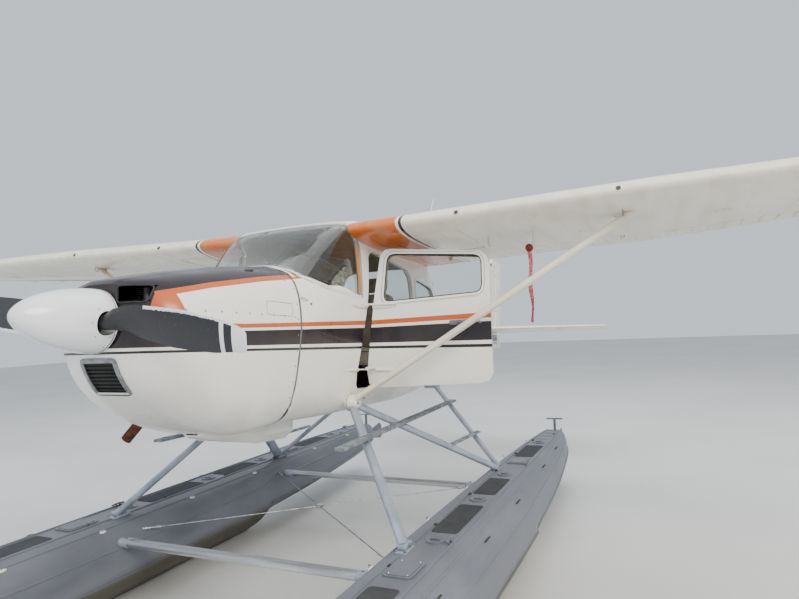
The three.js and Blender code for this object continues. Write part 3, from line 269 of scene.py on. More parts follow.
# key: name, two tones, roughness range, metal, size of patches, size of grain, its lift; then named values
plainFinishes = {
    "redLens": ("red_lens", "#8c1a14", "#a3271c", (0.08, 0.15), 0.0, 0.05,
              {"constants": {"Transmission Weight": 0.6}}),
    "greenLens": ("green_lens", "#14693c", "#1d7d4a", (0.08, 0.15), 0.0, 0.05,
              {"constants": {"Transmission Weight": 0.6}}),
    "white": ("plain_enamel", "#efede7", "#dcd7ca", (0.22, 0.36), 0.0, 0.2,
              {"constants": {"Coat Weight": 0.3}}),
    "cream": ("cream_enamel", "#ece5d4", "#d9cfb8", (0.25, 0.4), 0.0, 0.25,
              {"stretch": (1, 1, 0.4), "constants": {"Coat Weight": 0.3}}),
    "orange": ("orange_enamel", "#c8672c", "#b4531f", (0.25, 0.4)),
    "spinner": ("spinner_enamel", "#eff1f5", "#e2e6ec", (0.14, 0.24), 0.0, 0.25,
                {"constants": {"Coat Weight": 0.5}}),
    # painted and polished steel-grey tube: pale blue-grey, scuffed lengthwise
    "strut": ("strut_paint", "#a9b1be", "#8b94a2", (0.3, 0.48), 0.35, 0.12, {"stretch": (1, 1, 0.3)}),
    # extruded aluminium, left bare: bright, drawn marks along the bar
    "bright": ("mill_aluminium", "#d3d5d8", "#a8abb0", (0.22, 0.42), 0.95, 0.05, {"stretch": (0.1, 1, 1)}),
    "step": ("grey_tread", "#8b9198", "#5d6268", (0.5, 0.75), 0.2, 0.06, 0.003, 0.5),
    "tread": ("non_skid", "#2d2f33", "#3b3d40", (0.8, 0.95), 0.0, 0.08, 0.003, 0.8),
    "steel": ("stainless_steel", "#9a9da0", "#77797c", (0.28, 0.5), 0.95, 0.03),
    "darkSteel": ("blackened_steel", "#37383a", "#514a42", (0.45, 0.7), 0.6, 0.03),
    "filter": ("filter_foam", "#151516", "#232220", (0.8, 0.95), 0.0, 0.05, 0.004, 0.7),
    "slat": ("black_slats", "#1c1c1d", "#2b2a28", (0.4, 0.55), 0.0, 0.03),
    "cast": ("cast_alloy", "#6c6e70", "#3b3b3c", (0.5, 0.75), 0.6, 0.04, 0.003, 0.4),
    # exhaust pipe burnt to rust: brown with darker scale
    "rust": ("rusted_pipe", "#6a3b22", "#2c1c15", (0.75, 0.95), 0.2, 0.02, 0.003, 0.8),
    "firewall": ("galvanised_sheet", "#8f9293", "#747673", (0.35, 0.55), 0.8, 0.05),
    "primer": ("green_primer", "#737a4c", "#5f653f", (0.6, 0.8)),
    "soot": ("sooted_lining", "#2a2826", "#413d38", (0.7, 0.9), 0.0, 0.06),
    "panel": ("panel_black", "#232325", "#2f2f32", (0.5, 0.7), 0.0, 0.04, 0.002, 0.3),
    "gauge": ("gauge_face", "#0e0e0f", "#161617", (0.12, 0.2), 0.0, 0.03),
    "mark": ("gauge_marks", "#e9e7df", "#d9d6cc", (0.5, 0.6), 0.0, 0.01),
    "lining": ("moulded_lining", "#b3a893", "#a3977f", (0.65, 0.85), 0.0, 0.1, 0.003, 0.3),
    "carpet": ("loop_carpet", "#4f4740", "#3a342f", (0.95, 1.0), 0.0, 0.02, 0.005, 1.0),
    "cloth": ("seat_cloth", "#8b8172", "#766c5e", (0.85, 0.95), 0.0, 0.05, 0.003, 0.8,
              {"constants": {"Sheen Weight": 0.3}}),
    "vinyl": ("seat_vinyl", "#4a3b33", "#3d302a", (0.45, 0.6), 0.0, 0.05, 0.003, 0.4),
    "rubber": ("seal_rubber", "#262728", "#353637", (0.6, 0.8), 0.0, 0.04),
    "gap": ("seam_shadow", "#3b3834", "#57524a", (0.8, 0.95), 0.0, 0.04),
    "red": ("cover_red", "#7c1c1e", "#5f1517", (0.55, 0.75), 0.0, 0.03, 0.003, 0.4),
    "streamer": ("streamer_webbing", "#a3282c", "#c88e90", (0.8, 0.95), 0.0, 0.012, 0.002, 0.6),
    "tan": ("varnished_trim", "#c0843f", "#a56c30", (0.3, 0.45), 0.0, 0.05, {"stretch": (1, 1, 0.2)}),
    "belt": ("belt_webbing", "#2b2b2e", "#3a3a3e", (0.8, 0.95), 0.0, 0.01, 0.002, 0.8),
}
for key, row in plainFinishes.items():
    named = row[-1] if isinstance(row[-1], dict) else {}
    finishes[key] = makeFinish(*(row[:-1] if named else row), **named)
print("finishes made:", len(finishes))

# The CAD's cross-sections, and a smooth surface through them

bodyStations = np.array([      # y, crown, shoulder x z, belt x z, lower corner x z, belly, roundings
    [-1015, 205, 190, 170, 250, 0, 150, -140, -170, 0.42, 0.42],
    [-985, 232, 235, 190, 340, 0, 215, -210, -250, 0.42, 0.42],
    [-930, 252, 300, 205, 425, 0, 290, -295, -335, 0.42, 0.42],
    [-850, 276, 350, 222, 470, 0, 350, -372, -420, 0.42, 0.42],
    [-700, 315, 400, 255, 498, 0, 395, -470, -520, 0.42, 0.42],
    [-450, 374, 432, 300, 514, 0, 420, -570, -622, 0.42, 0.42],
    [-200, 420, 450, 335, 520, 0, 428, -612, -668, 0.42, 0.42],
    [55, 462, 462, 362, 524, 0, 430, -592, -640, 0.42, 0.42],
    [120, 478, 465, 372, 530, 20, 432, -588, -634, 0.4, 0.4],
    [690, 848, 512, 820, 566, 250, 466, -576, -610, 0.16, 0.32],
    [900, 890, 512, 868, 570, 250, 466, -569, -602, 0.12, 0.32],
    [1250, 900, 512, 880, 570, 250, 464, -554, -585, 0.12, 0.32],
    [1800, 862, 510, 842, 566, 250, 454, -534, -566, 0.12, 0.34],
    [2300, 775, 492, 745, 552, 240, 415, -492, -524, 0.2, 0.38],
    [3100, 492, 350, 420, 452, 150, 335, -392, -420, 0.4, 0.4],
    [4500, 435, 215, 380, 285, 130, 205, -205, -225, 0.42, 0.42],
    [5600, 392, 110, 345, 155, 140, 110, -62, -78, 0.42, 0.42],
    [6262, 352, 48, 330, 72, 160, 50, 18, 8, 0.42, 0.42],
]) * ([0.001] * 9 + [1, 1])
wingStations = np.array([      # span station, leading edge y and z, chord, incidence, thickness share
    [470, 674, 757, 1626, 1.5, 0.12],
    [2600, 682, 821, 1618, 1.2, 0.12],
    [5330, 846, 903, 1134, -1.5, 0.12],
    [5425, 862, 908, 1100, -1.5, 0.09],
    [5460, 895, 911, 1030, -1.5, 0.03],
]) * [0.001, 0.001, 0.001, 0.001, 1, 1]
hull = {
    "x": 1.268, "beam": 0.336, "deck": 0.118, "keel": 0.012, "step": 1.6505,
    "side": [(0.54, 0.96), (0.72, 0.86), (0.85, 0.69), (0.94, 0.46), (0.985, 0.2), (1, 0)],
    "fore": np.array([         # y, width share, keel, chine, deck
        [-1850, 0.13, 500, 525, 560], [-1785, 0.38, 385, 452, 592], [-1600, 0.64, 228, 372, 612],
        [-1300, 0.84, 92, 312, 622], [-1000, 0.94, 20, 284, 620], [-720, 0.985, 0, 272, 620],
        [0, 1, 0, 268, 620], [900, 1, 0, 265, 620], [1650, 0.97, 0, 258, 620],
    ]) * [0.001, 1, 0.001, 0.001, 0.001],
    "after": np.array([
        [1600, 0.955, 85, 286, 620], [2600, 0.86, 132, 312, 620], [3500, 0.69, 196, 352, 612],
        [4040, 0.52, 250, 390, 604], [4215, 0.4, 292, 418, 592],
    ]) * [0.001, 1, 0.001, 0.001, 0.001],
}


def bodyLoop(row):
    # eight corners, each rounded by a parabola that takes a share of the edges beside it
    _, top, sx, sz, bx, bz, lx, lz, low, rs, rl = row
    half = [(0, top, 0.4, 1), (sx, sz, rs, 3), (bx, bz, 0.3, 2), (lx, lz, rl, 3), (0, low, 0.4, 1)]
    corners = half + [(-x, z, f, k) for x, z, f, k in half[3:0:-1]]
    at = np.array([c[:2] for c in corners])
    loop = []
    for i, (_, _, share, steps) in enumerate(corners):
        t = np.linspace(0, 1, steps + 1)[:, None]
        before, after = at[i - 1] - at[i], at[(i + 1) % 8] - at[i]
        loop.append(at[i] + (1 - t) ** 2 * share * before + t ** 2 * share * after)
    return np.concatenate(loop)


def foilDepth(x, thick=1):
    # half the thickness of the usual wing section of unit chord
    return 5 * thick * (0.2969 * np.sqrt(x) - 0.126 * x - 0.3516 * x ** 2 + 0.2843 * x ** 3 - 0.1015 * x ** 4)


def foil(thick):
    # a cambered section of unit chord, from the upper trailing edge round the nose to the lower one
    def line(x, sign):
        x = np.array(x)
        depth = foilDepth(x, thick) + 0.0009
        camber = np.where(x < 0.4, 0.125 * (0.8 * x - x * x), 0.0556 * (0.2 + 0.8 * x - x * x))
        return np.stack([x, camber * thick / 0.12 + sign * depth], -1)

    return np.concatenate([line([1, 0.84, 0.66, 0.5, 0.35, 0.22, 0.12, 0.055, 0.018], 1), [[0, 0]],
                           line([0.015, 0.06, 0.16, 0.32, 0.52, 0.75, 1], -1)])


def wingLoop(row):
    # the unit section times the chord, turned by the incidence, moved to the leading edge
    _, lead, height, chord, turn, thick = row
    u, v = foil(thick).T
    c, k = math.cos(math.radians(turn)), math.sin(math.radians(turn))
    return np.stack([lead + chord * (u * c + v * k), height + chord * (v * c - u * k)], -1)


def hullLoop(row):
    # flat deck, sides that widen downwards by the table's shares of the beam, and a vee from chine to keel
    _, share, keel, chine, top = row
    beam = hull["beam"] * share
    deck = min(hull["deck"], beam * 0.42)
    half = [(deck, top)] + [(max(beam * u, deck + 0.004), chine + (top - chine) * h) for u, h in hull["side"]]
    half += [(beam * 0.55, keel + 0.42 * (chine - keel)), (min(hull["keel"], beam * 0.3), keel)]
    return np.array(half + [(-x, z) for x, z in half[::-1]])


def makeSurface(rows, loopOf, sharp=(), curved=True, outward=1):
    # slope at a station: the harmonic mean of the slopes beside it, or none where they change sign
    u, v = rows[:, 0], np.array([loopOf(row) for row in rows])
    step = np.diff(u)[:, None, None]
    slope = np.diff(v, axis=0) / step
    same = slope[:-1] * slope[1:] > 0
    w1, w2 = 2 * step[1:] + step[:-1], step[1:] + 2 * step[:-1]
    s1, s2 = np.where(same, slope[:-1], 1), np.where(same, slope[1:], 1)
    middle = np.where(same, (w1 + w2) / (w1 / s1 + w2 / s2), 0)
    corner = np.zeros(v.shape[1], bool)
    corner[list(sharp)] = True
    return {"u": u, "loops": v, "corner": corner, "outward": outward,
            "slopes": np.concatenate([slope[:1], middle, slope[-1:]]) if curved else None}


def cubic(t, a, b, slopeA, slopeB):
    # the curve from a to b over t = 0...1 that has these slopes at its ends
    return ((2 * t ** 3 - 3 * t ** 2 + 1) * a + (t ** 3 - 2 * t ** 2 + t) * slopeA
            + (3 * t ** 2 - 2 * t ** 3) * b + (t ** 3 - t ** 2) * slopeB)


def loopsAt(surface, s, straight):
    # the cross-sections at stations s: straight between the CAD's own, or a cubic through them
    u, v, m = surface["u"], surface["loops"], surface["slopes"]
    i = np.clip(np.searchsorted(u, s, side="right") - 1, 0, len(u) - 2)
    h = (u[i + 1] - u[i])[:, None, None]
    t = np.clip((s - u[i])[:, None, None] / h, 0, 1)
    if straight or m is None:
        return v[i] * (1 - t) + v[i + 1] * t
    return cubic(t, v[i], v[i + 1], h * m[i], h * m[i + 1])


def nearestEdge(points, loops):
    # each point's nearest edge of its loop: the edge, the share along it and the distance
    d = np.roll(loops, -1, axis=1) - loops
    f = np.clip(((points[:, None] - loops) * d).sum(-1) / np.maximum((d * d).sum(-1), 1e-12), 0, 1)
    away = np.linalg.norm(loops + d * f[..., None] - points[:, None], axis=-1)
    j, pick = away.argmin(1), np.arange(len(points))
    return j, f[pick, j], away[pick, j]


def roundAt(surface, loops, row, j, f):
    # a smooth curve through a section's points: at each one it follows the chord of its neighbours
    n, f = loops.shape[1], f[:, None]
    p0, p1, p2, p3 = (loops[row, (j + k) % n] for k in (-1, 0, 1, 2))
    d0, d1, d2 = (np.linalg.norm(b - a, axis=-1, keepdims=True) + 1e-9
                  for a, b in ((p0, p1), (p1, p2), (p2, p3)))
    own = (p2 - p1) / d1
    m1 = np.where(surface["corner"][j % n, None], own, (p2 - p0) / (d0 + d1))
    m2 = np.where(surface["corner"][(j + 1) % n, None], own, (p3 - p1) / (d1 + d2))
    return cubic(f, p1, p2, d1 * m1, d1 * m2)


def pointAt(surface, s, t):
    # the surface's point (across, station, height) at station s and loop place t
    s, t = matched(s, t)
    flat, j = s.ravel(), np.floor(t.ravel()).astype(int)
    at = roundAt(surface, loopsAt(surface, flat, False), np.arange(flat.size), j, t.ravel() - j)
    return np.stack([at[:, 0], flat, at[:, 1]], -1).reshape(*s.shape, 3)


def normalAt(surface, s, t):
    # the cross product of a small step along the loop and one along the stations, kept off the corners
    s, t = matched(s, t)
    s = np.clip(s, surface["u"][0] + 0.004, surface["u"][-1] - 0.004)
    base = np.floor(t)
    t = base + np.clip(t - base, 0.02, 0.98)
    alongLoop = pointAt(surface, s, t + 0.015) - pointAt(surface, s, t - 0.015)
    alongSpan = pointAt(surface, s + 0.003, t) - pointAt(surface, s - 0.003, t)
    return unit(np.cross(alongLoop, alongSpan)) * surface["outward"]


def spotsOn(surface, s, t):
    return pointAt(surface, s, t), normalAt(surface, s, t)


def placeOf(surface, s, value, axis, low, high):
    # the loop place between low and high where the section's across (0) or height (1) has this value
    s, value = matched(s, value)
    flat, want = s.ravel(), value.ravel()
    t = np.linspace(low, high, 161)
    rows = np.repeat(np.arange(flat.size), t.size)
    many = np.tile(t, flat.size)
    j = np.floor(many).astype(int)
    got = roundAt(surface, loopsAt(surface, flat, False), rows, j, many - j)[:, axis].reshape(flat.size, -1)
    k = np.clip(np.abs(got - want[:, None]).argmin(1), 1, t.size - 2)
    pick = np.arange(flat.size)
    step = t[1] - t[0]
    rise = (got[pick, k + 1] - got[pick, k - 1]) / (2 * step)
    rise = np.where(np.abs(rise) < 1e-6, 1e-6, rise)
    off = np.clip((want - got[pick, k]) / rise, -step, step)
    return (t[k] + off).reshape(s.shape)


bodySurface = makeSurface(bodyStations, bodyLoop)
wingSurface = makeSurface(wingStations, wingLoop, sharp=(0, 16), curved=False, outward=-1)
foreSurface = makeSurface(hull["fore"], hullLoop, sharp=(0, 6, 8, 9, 11, 17))
afterSurface = makeSurface(hull["after"], hullLoop, sharp=(0, 6, 8, 9, 11, 17))


def onBody(y, value, side=1, zone="side"):
    # points and normals on the body: by height on a side, or by distance from the middle on top or belly
    axis = 1 if zone == "side" else 0
    low, high = {"side": (1.0, 13.0), "top": (0.5, 4.5), "belly": (9.5, 13.5)}[zone]
    t = placeOf(bodySurface, y, value, axis, low, high)
    p, n = spotsOn(bodySurface, y, t)
    return p * [side, 1, 1], n * [side, 1, 1]


def onWing(x, share, side=1, upper=True):
    # points and normals on a wing panel by span station and share of the chord
    x, share = matched(x, share)
    lead, chord = (np.interp(x, wingStations[:, 0], wingStations[:, k]) for k in (1, 3))
    t = placeOf(wingSurface, x, lead + chord * share, 0, *((0.0, 8.9) if upper else (9.1, 16.0)))
    p, n = spotsOn(wingSurface, x, t)
    return p[..., [1, 0, 2]] * [side, 1, 1], n[..., [1, 0, 2]] * [side, 1, 1]


def onHull(y, t, side=1, flip=1):
    # points and normals on a float by level station and loop place (0 the deck's edge, 6 the chine)
    y, t = matched(y, t)
    fore = (y <= hull["step"])[..., None]
    p, n = np.where(fore, spotsOn(foreSurface, y, t), spotsOn(afterSurface, y, t))
    return p * [flip, 1, 1] + [side * hull["x"], 0, 0], n * [flip, 1, 1]


def sectionField(surfaces, reach, pin=None):
    # how far the straight-sided CAD skin is from the smooth surface, and that surface's normal
    # nothing moves close to a hinge pin, so that its eye still turns on it
    def field(local):
        shift, normal = np.zeros_like(local), np.zeros_like(local)
        depth = np.full(len(local), 9.0)
        for surface, low, high in surfaces:
            at = np.flatnonzero((local[:, 1] >= low) & (local[:, 1] < high))
            if not len(at):
                continue
            p, rows = local[at], np.arange(len(at))
            straight = loopsAt(surface, p[:, 1], True)
            j, f, away = nearestEdge(p[:, [0, 2]], straight)
            n = straight.shape[1]
            flat = straight[rows, j] * (1 - f[:, None]) + straight[rows, (j + 1) % n] * f[:, None]
            fine = roundAt(surface, loopsAt(surface, p[:, 1], False), rows, j, f)
            shift[at[:, None], [0, 2]] = (fine - flat) * (away < reach)[:, None]
            normal[at] = normalAt(surface, p[:, 1], j + f)
            out = ((p[:, [0, 2]] - flat) * normal[at][:, [0, 2]]).sum(-1) > 0.004
            depth[at] = np.where(out, -away, away)      # minus outside the skin, as on the outlet's lip
        if pin:
            far = np.hypot(np.abs(local[:, 0]) - pin[0], local[:, 1] - pin[1])
            shift *= np.clip((far - 0.022) / 0.03, 0, 1)[:, None]
        return shift, normal, depth
    return field


spinnerShape = {"tip": -1.476, "back": -1.03, "r": 0.165, "sides": 20,
                "stations": (0, 0.04, 0.13, 0.3, 0.5, 0.75, 1)}


def spinnerField(local):
    # the CAD's cone is a polygon turned about the shaft; each point moves out by the ratio to the true curve
    s = spinnerShape
    span = s["back"] - s["tip"]
    share = np.clip((local[:, 1] - s["tip"]) / span, 0, 1)
    curve = s["r"] * (share * (2 - share)) ** 0.6
    known = np.array(s["stations"])
    chords = np.interp(share, known, s["r"] * (known * (2 - known)) ** 0.6)
    step = 2 * math.pi / s["sides"]
    turn = np.arctan2(local[:, 0], local[:, 2]) % step - step / 2
    radius = np.hypot(local[:, 0], local[:, 2])
    facet = chords * math.cos(step / 2) / np.cos(turn)
    ratio = np.where(radius > 0.6 * facet, curve / np.maximum(facet, 1e-4), 1)
    shift = local * [1, 0, 1] * (ratio - 1)[:, None]
    lean = s["r"] * 0.6 * (np.maximum(share * (2 - share), 1e-4)) ** -0.4 * (2 - 2 * share) / span
    safe = np.maximum(radius, 1e-6)
    out = np.stack([local[:, 0] / safe, -lean, local[:, 2] / safe], -1)
    return shift, unit(out), np.abs(radius - facet)


# Mesh helpers

def addObject(name, data):
    made = bpy.data.objects.new(name, data)
    bpy.context.scene.collection.objects.link(made)
    return made


def addPiece(name, mesh, body, materials):
    piece = addObject(name, mesh)
    for m in materials:
        mesh.materials.append(finishes[m])
    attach(piece, body)
    return piece


def setField(mesh, name, values):
    wide = np.ndim(values) > 1
    layer = mesh.attributes.new(name, "FLOAT_VECTOR" if wide else "FLOAT", "POINT")
    layer.data.foreach_set("vector" if wide else "value", np.ravel(values).astype(np.float32))


def setTrim(mesh, points):
    fields, mouth = trimFields(points)
    setField(mesh, "trimField", fields)
    setField(mesh, "noseField", mouth)


def read(items, what, width, kind=np.float32):
    values = np.empty(len(items) * width, kind)
    items.foreach_get(what, values)
    return values.reshape(-1, width) if width > 1 else values


def refined(node, level):
    # a merged copy of a CAD node, each face split evenly
    mesh = nodes[node].data.copy()
    mesh.materials.clear()
    tool = bmesh.new()
    tool.from_mesh(mesh)
    bmesh.ops.remove_doubles(tool, verts=tool.verts, dist=2e-5)
    tool.to_mesh(mesh)
    tool.free()
    for name in [a.name for a in mesh.attributes if a.name in ("sharp_face", "custom_normal", "sharp_edge")]:
        mesh.attributes.remove(mesh.attributes[name])
    if not level:
        return mesh
    holder = addObject("holder", mesh)
    split = holder.modifiers.new("split", "SUBSURF")
    split.subdivision_type, split.levels, split.render_levels = "SIMPLE", level, level
    fine = bpy.data.meshes.new_from_object(holder.evaluated_get(bpy.context.evaluated_depsgraph_get()))
    bpy.data.objects.remove(holder)
    return fine


skinRules = {"crease": math.radians(32), "lean": math.radians(38),      # sharper edges keep their own shading
             "outside": 0.006, "reach": 0.046, "deep": 0.03}              # metres from the smooth surface


def reskin(node, field, toLocal, level, materials):
    # a fine copy of a CAD node, moved onto the smooth surface and shaded with that surface's normals
    r, mesh = skinRules, refined(node, level)
    local = moved(toLocal, read(mesh.vertices, "co", 3))
    shift, normal, depth = field(local)
    local = local + shift
    mesh.vertices.foreach_set("co", moved(toLocal.inverted(), local).astype(np.float32).ravel())
    mesh.polygons.foreach_set("use_smooth", np.ones(len(mesh.polygons), bool))
    mesh.update()
    mesh.set_sharp_from_angle(angle=r["crease"])
    normal = unit(turned(toLocal.inverted(), normal))
    corner = read(mesh.loops, "vertex_index", 1, np.int32)
    totals = read(mesh.polygons, "loop_total", 1, np.int32)
    facing = read(mesh.polygons, "normal", 3)
    agree = (np.repeat(facing, totals, axis=0) * normal[corner]).sum(-1)
    near = (depth > -r["outside"]) & (depth < r["reach"])
    skin = near[corner] & (np.abs(agree) > math.cos(r["lean"]))
    soft = read(mesh.corner_normals, "vector", 3)
    own = np.where(skin[:, None], normal[corner] * np.sign(agree)[:, None], soft)
    if len(materials) > 1:
        first = np.concatenate([[0], np.cumsum(totals)[:-1]])
        facesIn = np.add.reduceat(np.where(near[corner], agree, 0), first) / totals < -0.5
        deep = np.add.reduceat(depth[corner], first) / totals > r["deep"]
        mesh.polygons.foreach_set("material_index", (facesIn | deep).astype(np.int32))
    mesh.normals_split_custom_set(own.tolist())
    if "enamel" in materials:
        setTrim(mesh, local)
    piece = addPiece(node + "_skin", mesh, bodyOf[node], materials)
    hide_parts(node)
    return piece


def gridFaces(rows, cols, closed=False):
    i, j = np.meshgrid(np.arange(rows - 1), np.arange(cols if closed else cols - 1), indexing="ij")
    a, b = i * cols + j, i * cols + (j + 1) % cols
    return np.stack([a, b, b + cols, a + cols], -1).reshape(-1, 4)


def fanFaces(m):
    k = np.arange(m)
    return np.stack([np.zeros(m, int), 1 + k, 1 + (k + 1) % m], -1).tolist()


def closedFaces(n, m):
    return gridFaces(n, m, True).tolist() + [list(range(m)), list(range((n - 1) * m, n * m))]


def sweep(path, profile, up=(0, 0, 1), scale=None, ring=False):
    # carries a closed (across, up) profile along a path; the frame leans on the up direction
    path, profile = np.asarray(path, float), np.asarray(profile, float)
    along = unit(np.roll(path, -1, 0) - np.roll(path, 1, 0)) if ring else unit(np.gradient(path, axis=0))
    across = unit(np.cross(along, np.broadcast_to(up, path.shape)))
    over = np.cross(across, along)
    size = np.ones(len(path)) if scale is None else np.asarray(scale, float)
    if size.ndim == 1:
        size = np.stack([size, size], -1)
    points = (path[:, None] + across[:, None] * (profile[None, :, :1] * size[:, None, :1])
              + over[:, None] * (profile[None, :, 1:] * size[:, None, 1:]))
    n, m = len(path), len(profile)
    faces = gridFaces(n, m, True).tolist()
    if ring:
        last = (n - 1) * m
        faces += [[last + j, last + (j + 1) % m, (j + 1) % m, j] for j in range(m)]
    else:
        faces += [list(range(m)), list(range((n - 1) * m, n * m))[::-1]]
    return points.reshape(-1, 3), faces


def turns(count):
    return np.arange(count) * 2 * math.pi / count


def circle(radius, sides):
    # radius times (cos a, sin a)
    a = turns(sides)
    return np.stack([radius * np.cos(a), radius * np.sin(a)], -1)


def slabProfile(width, height, corner, steps=3):
    # a rectangle with rounded corners
    a = np.linspace(0, math.pi / 2, steps + 1)
    arc = np.stack([np.cos(a), np.sin(a)], -1) * corner
    w, h = width / 2 - corner, height / 2 - corner
    corners = [(w, h, arc), (-w, h, arc[::-1] * [-1, 1]), (-w, -h, -arc), (w, -h, arc[::-1] * [1, -1])]
    return np.concatenate([part + [x, y] for x, y, part in corners])


def tube(points, radius, sides=10, up=(0.3, 0.2, 1), ring=False):
    return sweep(points, circle(radius, sides), up, ring=ring)


def bar(start, end, width, height, up=(0, 0, 1), corner=None):
    # a bar with rounded edges and eased ends
    start, end = np.asarray(start, float), np.asarray(end, float)
    corner = min(width, height) * 0.25 if corner is None else corner
    ease = unit(end - start) * corner
    path = [start, start + ease * 0.35, start + ease, end - ease, end - ease * 0.35, end]
    short = [1 - 1.6 * corner / width, 1 - 1.6 * corner / height]
    middle = [1 - 0.5 * corner / width, 1 - 0.5 * corner / height]
    scale = [short, middle, [1, 1]]
    return sweep(path, slabProfile(width, height, corner), up, scale + scale[::-1])


def lathe(profile, origin, axis, sides=20):
    # turns a (radius, height) profile about an axis; its ends close on the axis or as flat caps
    profile = np.maximum(np.asarray(profile, float), [1e-5, -9e9])
    axis = unit(axis)
    path = np.asarray(origin, float) + axis * profile[:, 1:]
    a = unit(np.cross(axis, [0.31, 0.77, 0.53]))
    b = np.cross(axis, a)
    turn = turns(sides)
    spoke = np.cos(turn)[:, None] * a + np.sin(turn)[:, None] * b
    points = path[:, None] + spoke * profile[:, None, :1]
    n = len(profile)
    faces = gridFaces(n, sides, True).tolist()
    faces += [list(range(sides))[::-1], list(range((n - 1) * sides, n * sides))]
    return points.reshape(-1, 3), faces


rivet = {"radius": 0.003, "height": 0.001}


def domes(points, normals, radius=rivet["radius"], height=rivet["height"], sides=6):
    # low buttons on a surface: a ring sunk slightly into it and a smaller raised one
    points, normals = (np.asarray(v, float).reshape(-1, 3) for v in (points, normals))
    normals = unit(normals)
    radius = np.broadcast_to(radius, len(points))[:, None, None]
    a = unit(np.cross(normals, [0.36, 0.48, 0.8]))
    b = np.cross(normals, a)
    turn = turns(sides)
    spoke = np.cos(turn)[None, :, None] * a[:, None] + np.sin(turn)[None, :, None] * b[:, None]
    low = points[:, None] + spoke * radius - normals[:, None] * 0.0006
    high = points[:, None] + spoke * radius * 0.55 + normals[:, None] * height
    verts = np.concatenate([low, high], 1).reshape(-1, 3)
    start = np.arange(len(points))[:, None, None] * 2 * sides
    j = np.arange(sides)
    wall = np.stack([j, (j + 1) % sides, (j + 1) % sides + sides, j + sides], -1)[None] + start
    faces = wall.reshape(-1, 4).tolist() + (np.arange(sides)[None] + sides + start[:, 0]).tolist()
    return verts, faces


def patch(place, outline, lift, rings=3):
    # a raised plate on a surface: its outline shrinks towards the middle in rings, all lifted off the skin
    outline = np.asarray(outline, float)
    middle = outline.mean(0)
    shares = np.linspace(0.0, 1, rings + 1)[1:]
    flat = middle + shares[:, None, None] * (outline - middle)
    spots = np.concatenate([[middle], flat.reshape(-1, 2)])
    p, n = place(spots[:, 0], spots[:, 1])
    m = len(outline)
    verts = np.concatenate([p + n * lift, p[-m:] - n[-m:] * 0.0012])     # the rim reaches just into the skin
    k, faces = np.arange(m), fanFaces(m)
    for r in range(rings):
        a, b = 1 + r * m + k, 1 + r * m + (k + 1) % m
        faces += np.stack([a, a + m, b + m, b], -1).tolist()
    return verts, faces


def roundedOutline(points, radius, steps=4):
    # rounds the corners of a flat outline with parabolas
    points = np.asarray(points, float)
    out = []
    for i, p in enumerate(points):
        before, after = points[i - 1] - p, points[(i + 1) % len(points)] - p
        a = before / np.linalg.norm(before) * min(radius, np.linalg.norm(before) * 0.45)
        b = after / np.linalg.norm(after) * min(radius, np.linalg.norm(after) * 0.45)
        t = np.linspace(0, 1, steps + 1)[:, None]
        out.append(p + (1 - t) ** 2 * a + t ** 2 * b)
    return np.concatenate(out)


def distances(points):
    return np.concatenate([[0], np.cumsum(np.linalg.norm(np.diff(points, axis=0), axis=1))])


def spaced(points, pitch, ring=False):
    # evenly spaced points along a polyline, at about this pitch
    points = np.asarray(points, float)
    if ring:
        points = np.concatenate([points, points[:1]])
    run = distances(points)
    at = np.linspace(0, run[-1], max(int(round(run[-1] / pitch)), 1) + 1)
    at = at[:-1] if ring else at
    return np.stack([np.interp(at, run, points[:, k]) for k in range(points.shape[1])], -1)


def ribbon(place, line, width, height, pitch=0.04, ring=False):
    # a flat strip laid along a line on a surface
    at = spaced(line, pitch, ring)
    p, n = place(at[:, 0], at[:, 1])
    return sweep(p + n * (height * 0.5 - 0.0008), slabProfile(width, height + 0.0016, 0.0006, 1), n,
                 ring=ring)


def rivets(place, lines, pitch, radius=rivet["radius"], height=rivet["height"]):
    found = [place(*spaced(line, pitch).T) for line in lines]
    return domes(np.concatenate([p for p, _ in found]), np.concatenate([n for _, n in found]), radius, height)


class Parts(list):
    # the closed shapes of one piece, each with the number of its finish
    def add(self, number, *shapes):
        self.extend((*shape[:2], number) for shape in shapes)
        return self


def build(name, parts, finishNames, matrix=airToRow, body="airframe", smooth=40, replaces=None):
    # joins parts into one piece; a part without a finish number has the first finish
    # body enamel takes its stripes from the points' places with the doors shut
    verts, faces, index, start = [], [], [], 0
    materials = finishNames.split()
    for part in parts:
        points, polys = part[:2]
        verts.append(np.asarray(points, float))
        faces += [[int(v) + start for v in f] for f in polys]
        index += [part[2] if len(part) > 2 else 0] * len(polys)
        start += len(points)
    mesh = bpy.data.meshes.new(name)
    mesh.from_pydata(moved(matrix, np.concatenate(verts)).tolist(), [], faces)
    mesh.polygons.foreach_set("material_index", np.array(index, np.int32))
    tool = bmesh.new()
    tool.from_mesh(mesh)
    bmesh.ops.recalc_face_normals(tool, faces=tool.faces)
    tool.to_mesh(mesh)
    tool.free()
    mesh.polygons.foreach_set("use_smooth", np.ones(len(mesh.polygons), bool))
    mesh.set_sharp_from_angle(angle=math.radians(smooth))
    mesh.update()
    if "enamel" in materials:
        setTrim(mesh, np.concatenate(verts))
    piece = addPiece(name, mesh, body, materials)
    if replaces:
        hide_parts(replaces)
    return piece


sides = {"left": 1, "right": -1}
doorPlace = {1: closedToRow(1), -1: closedToRow(-1)}

# Skins

bodyField = sectionField([(bodySurface, -9, 9)], skinRules["reach"], (doorSwing["x"], doorSwing["y"]))
wingField = sectionField([(wingSurface, -9, 9)], 0.004)
hullField = sectionField([(foreSurface, -9, hull["step"]), (afterSurface, hull["step"], 9)], 0.003)

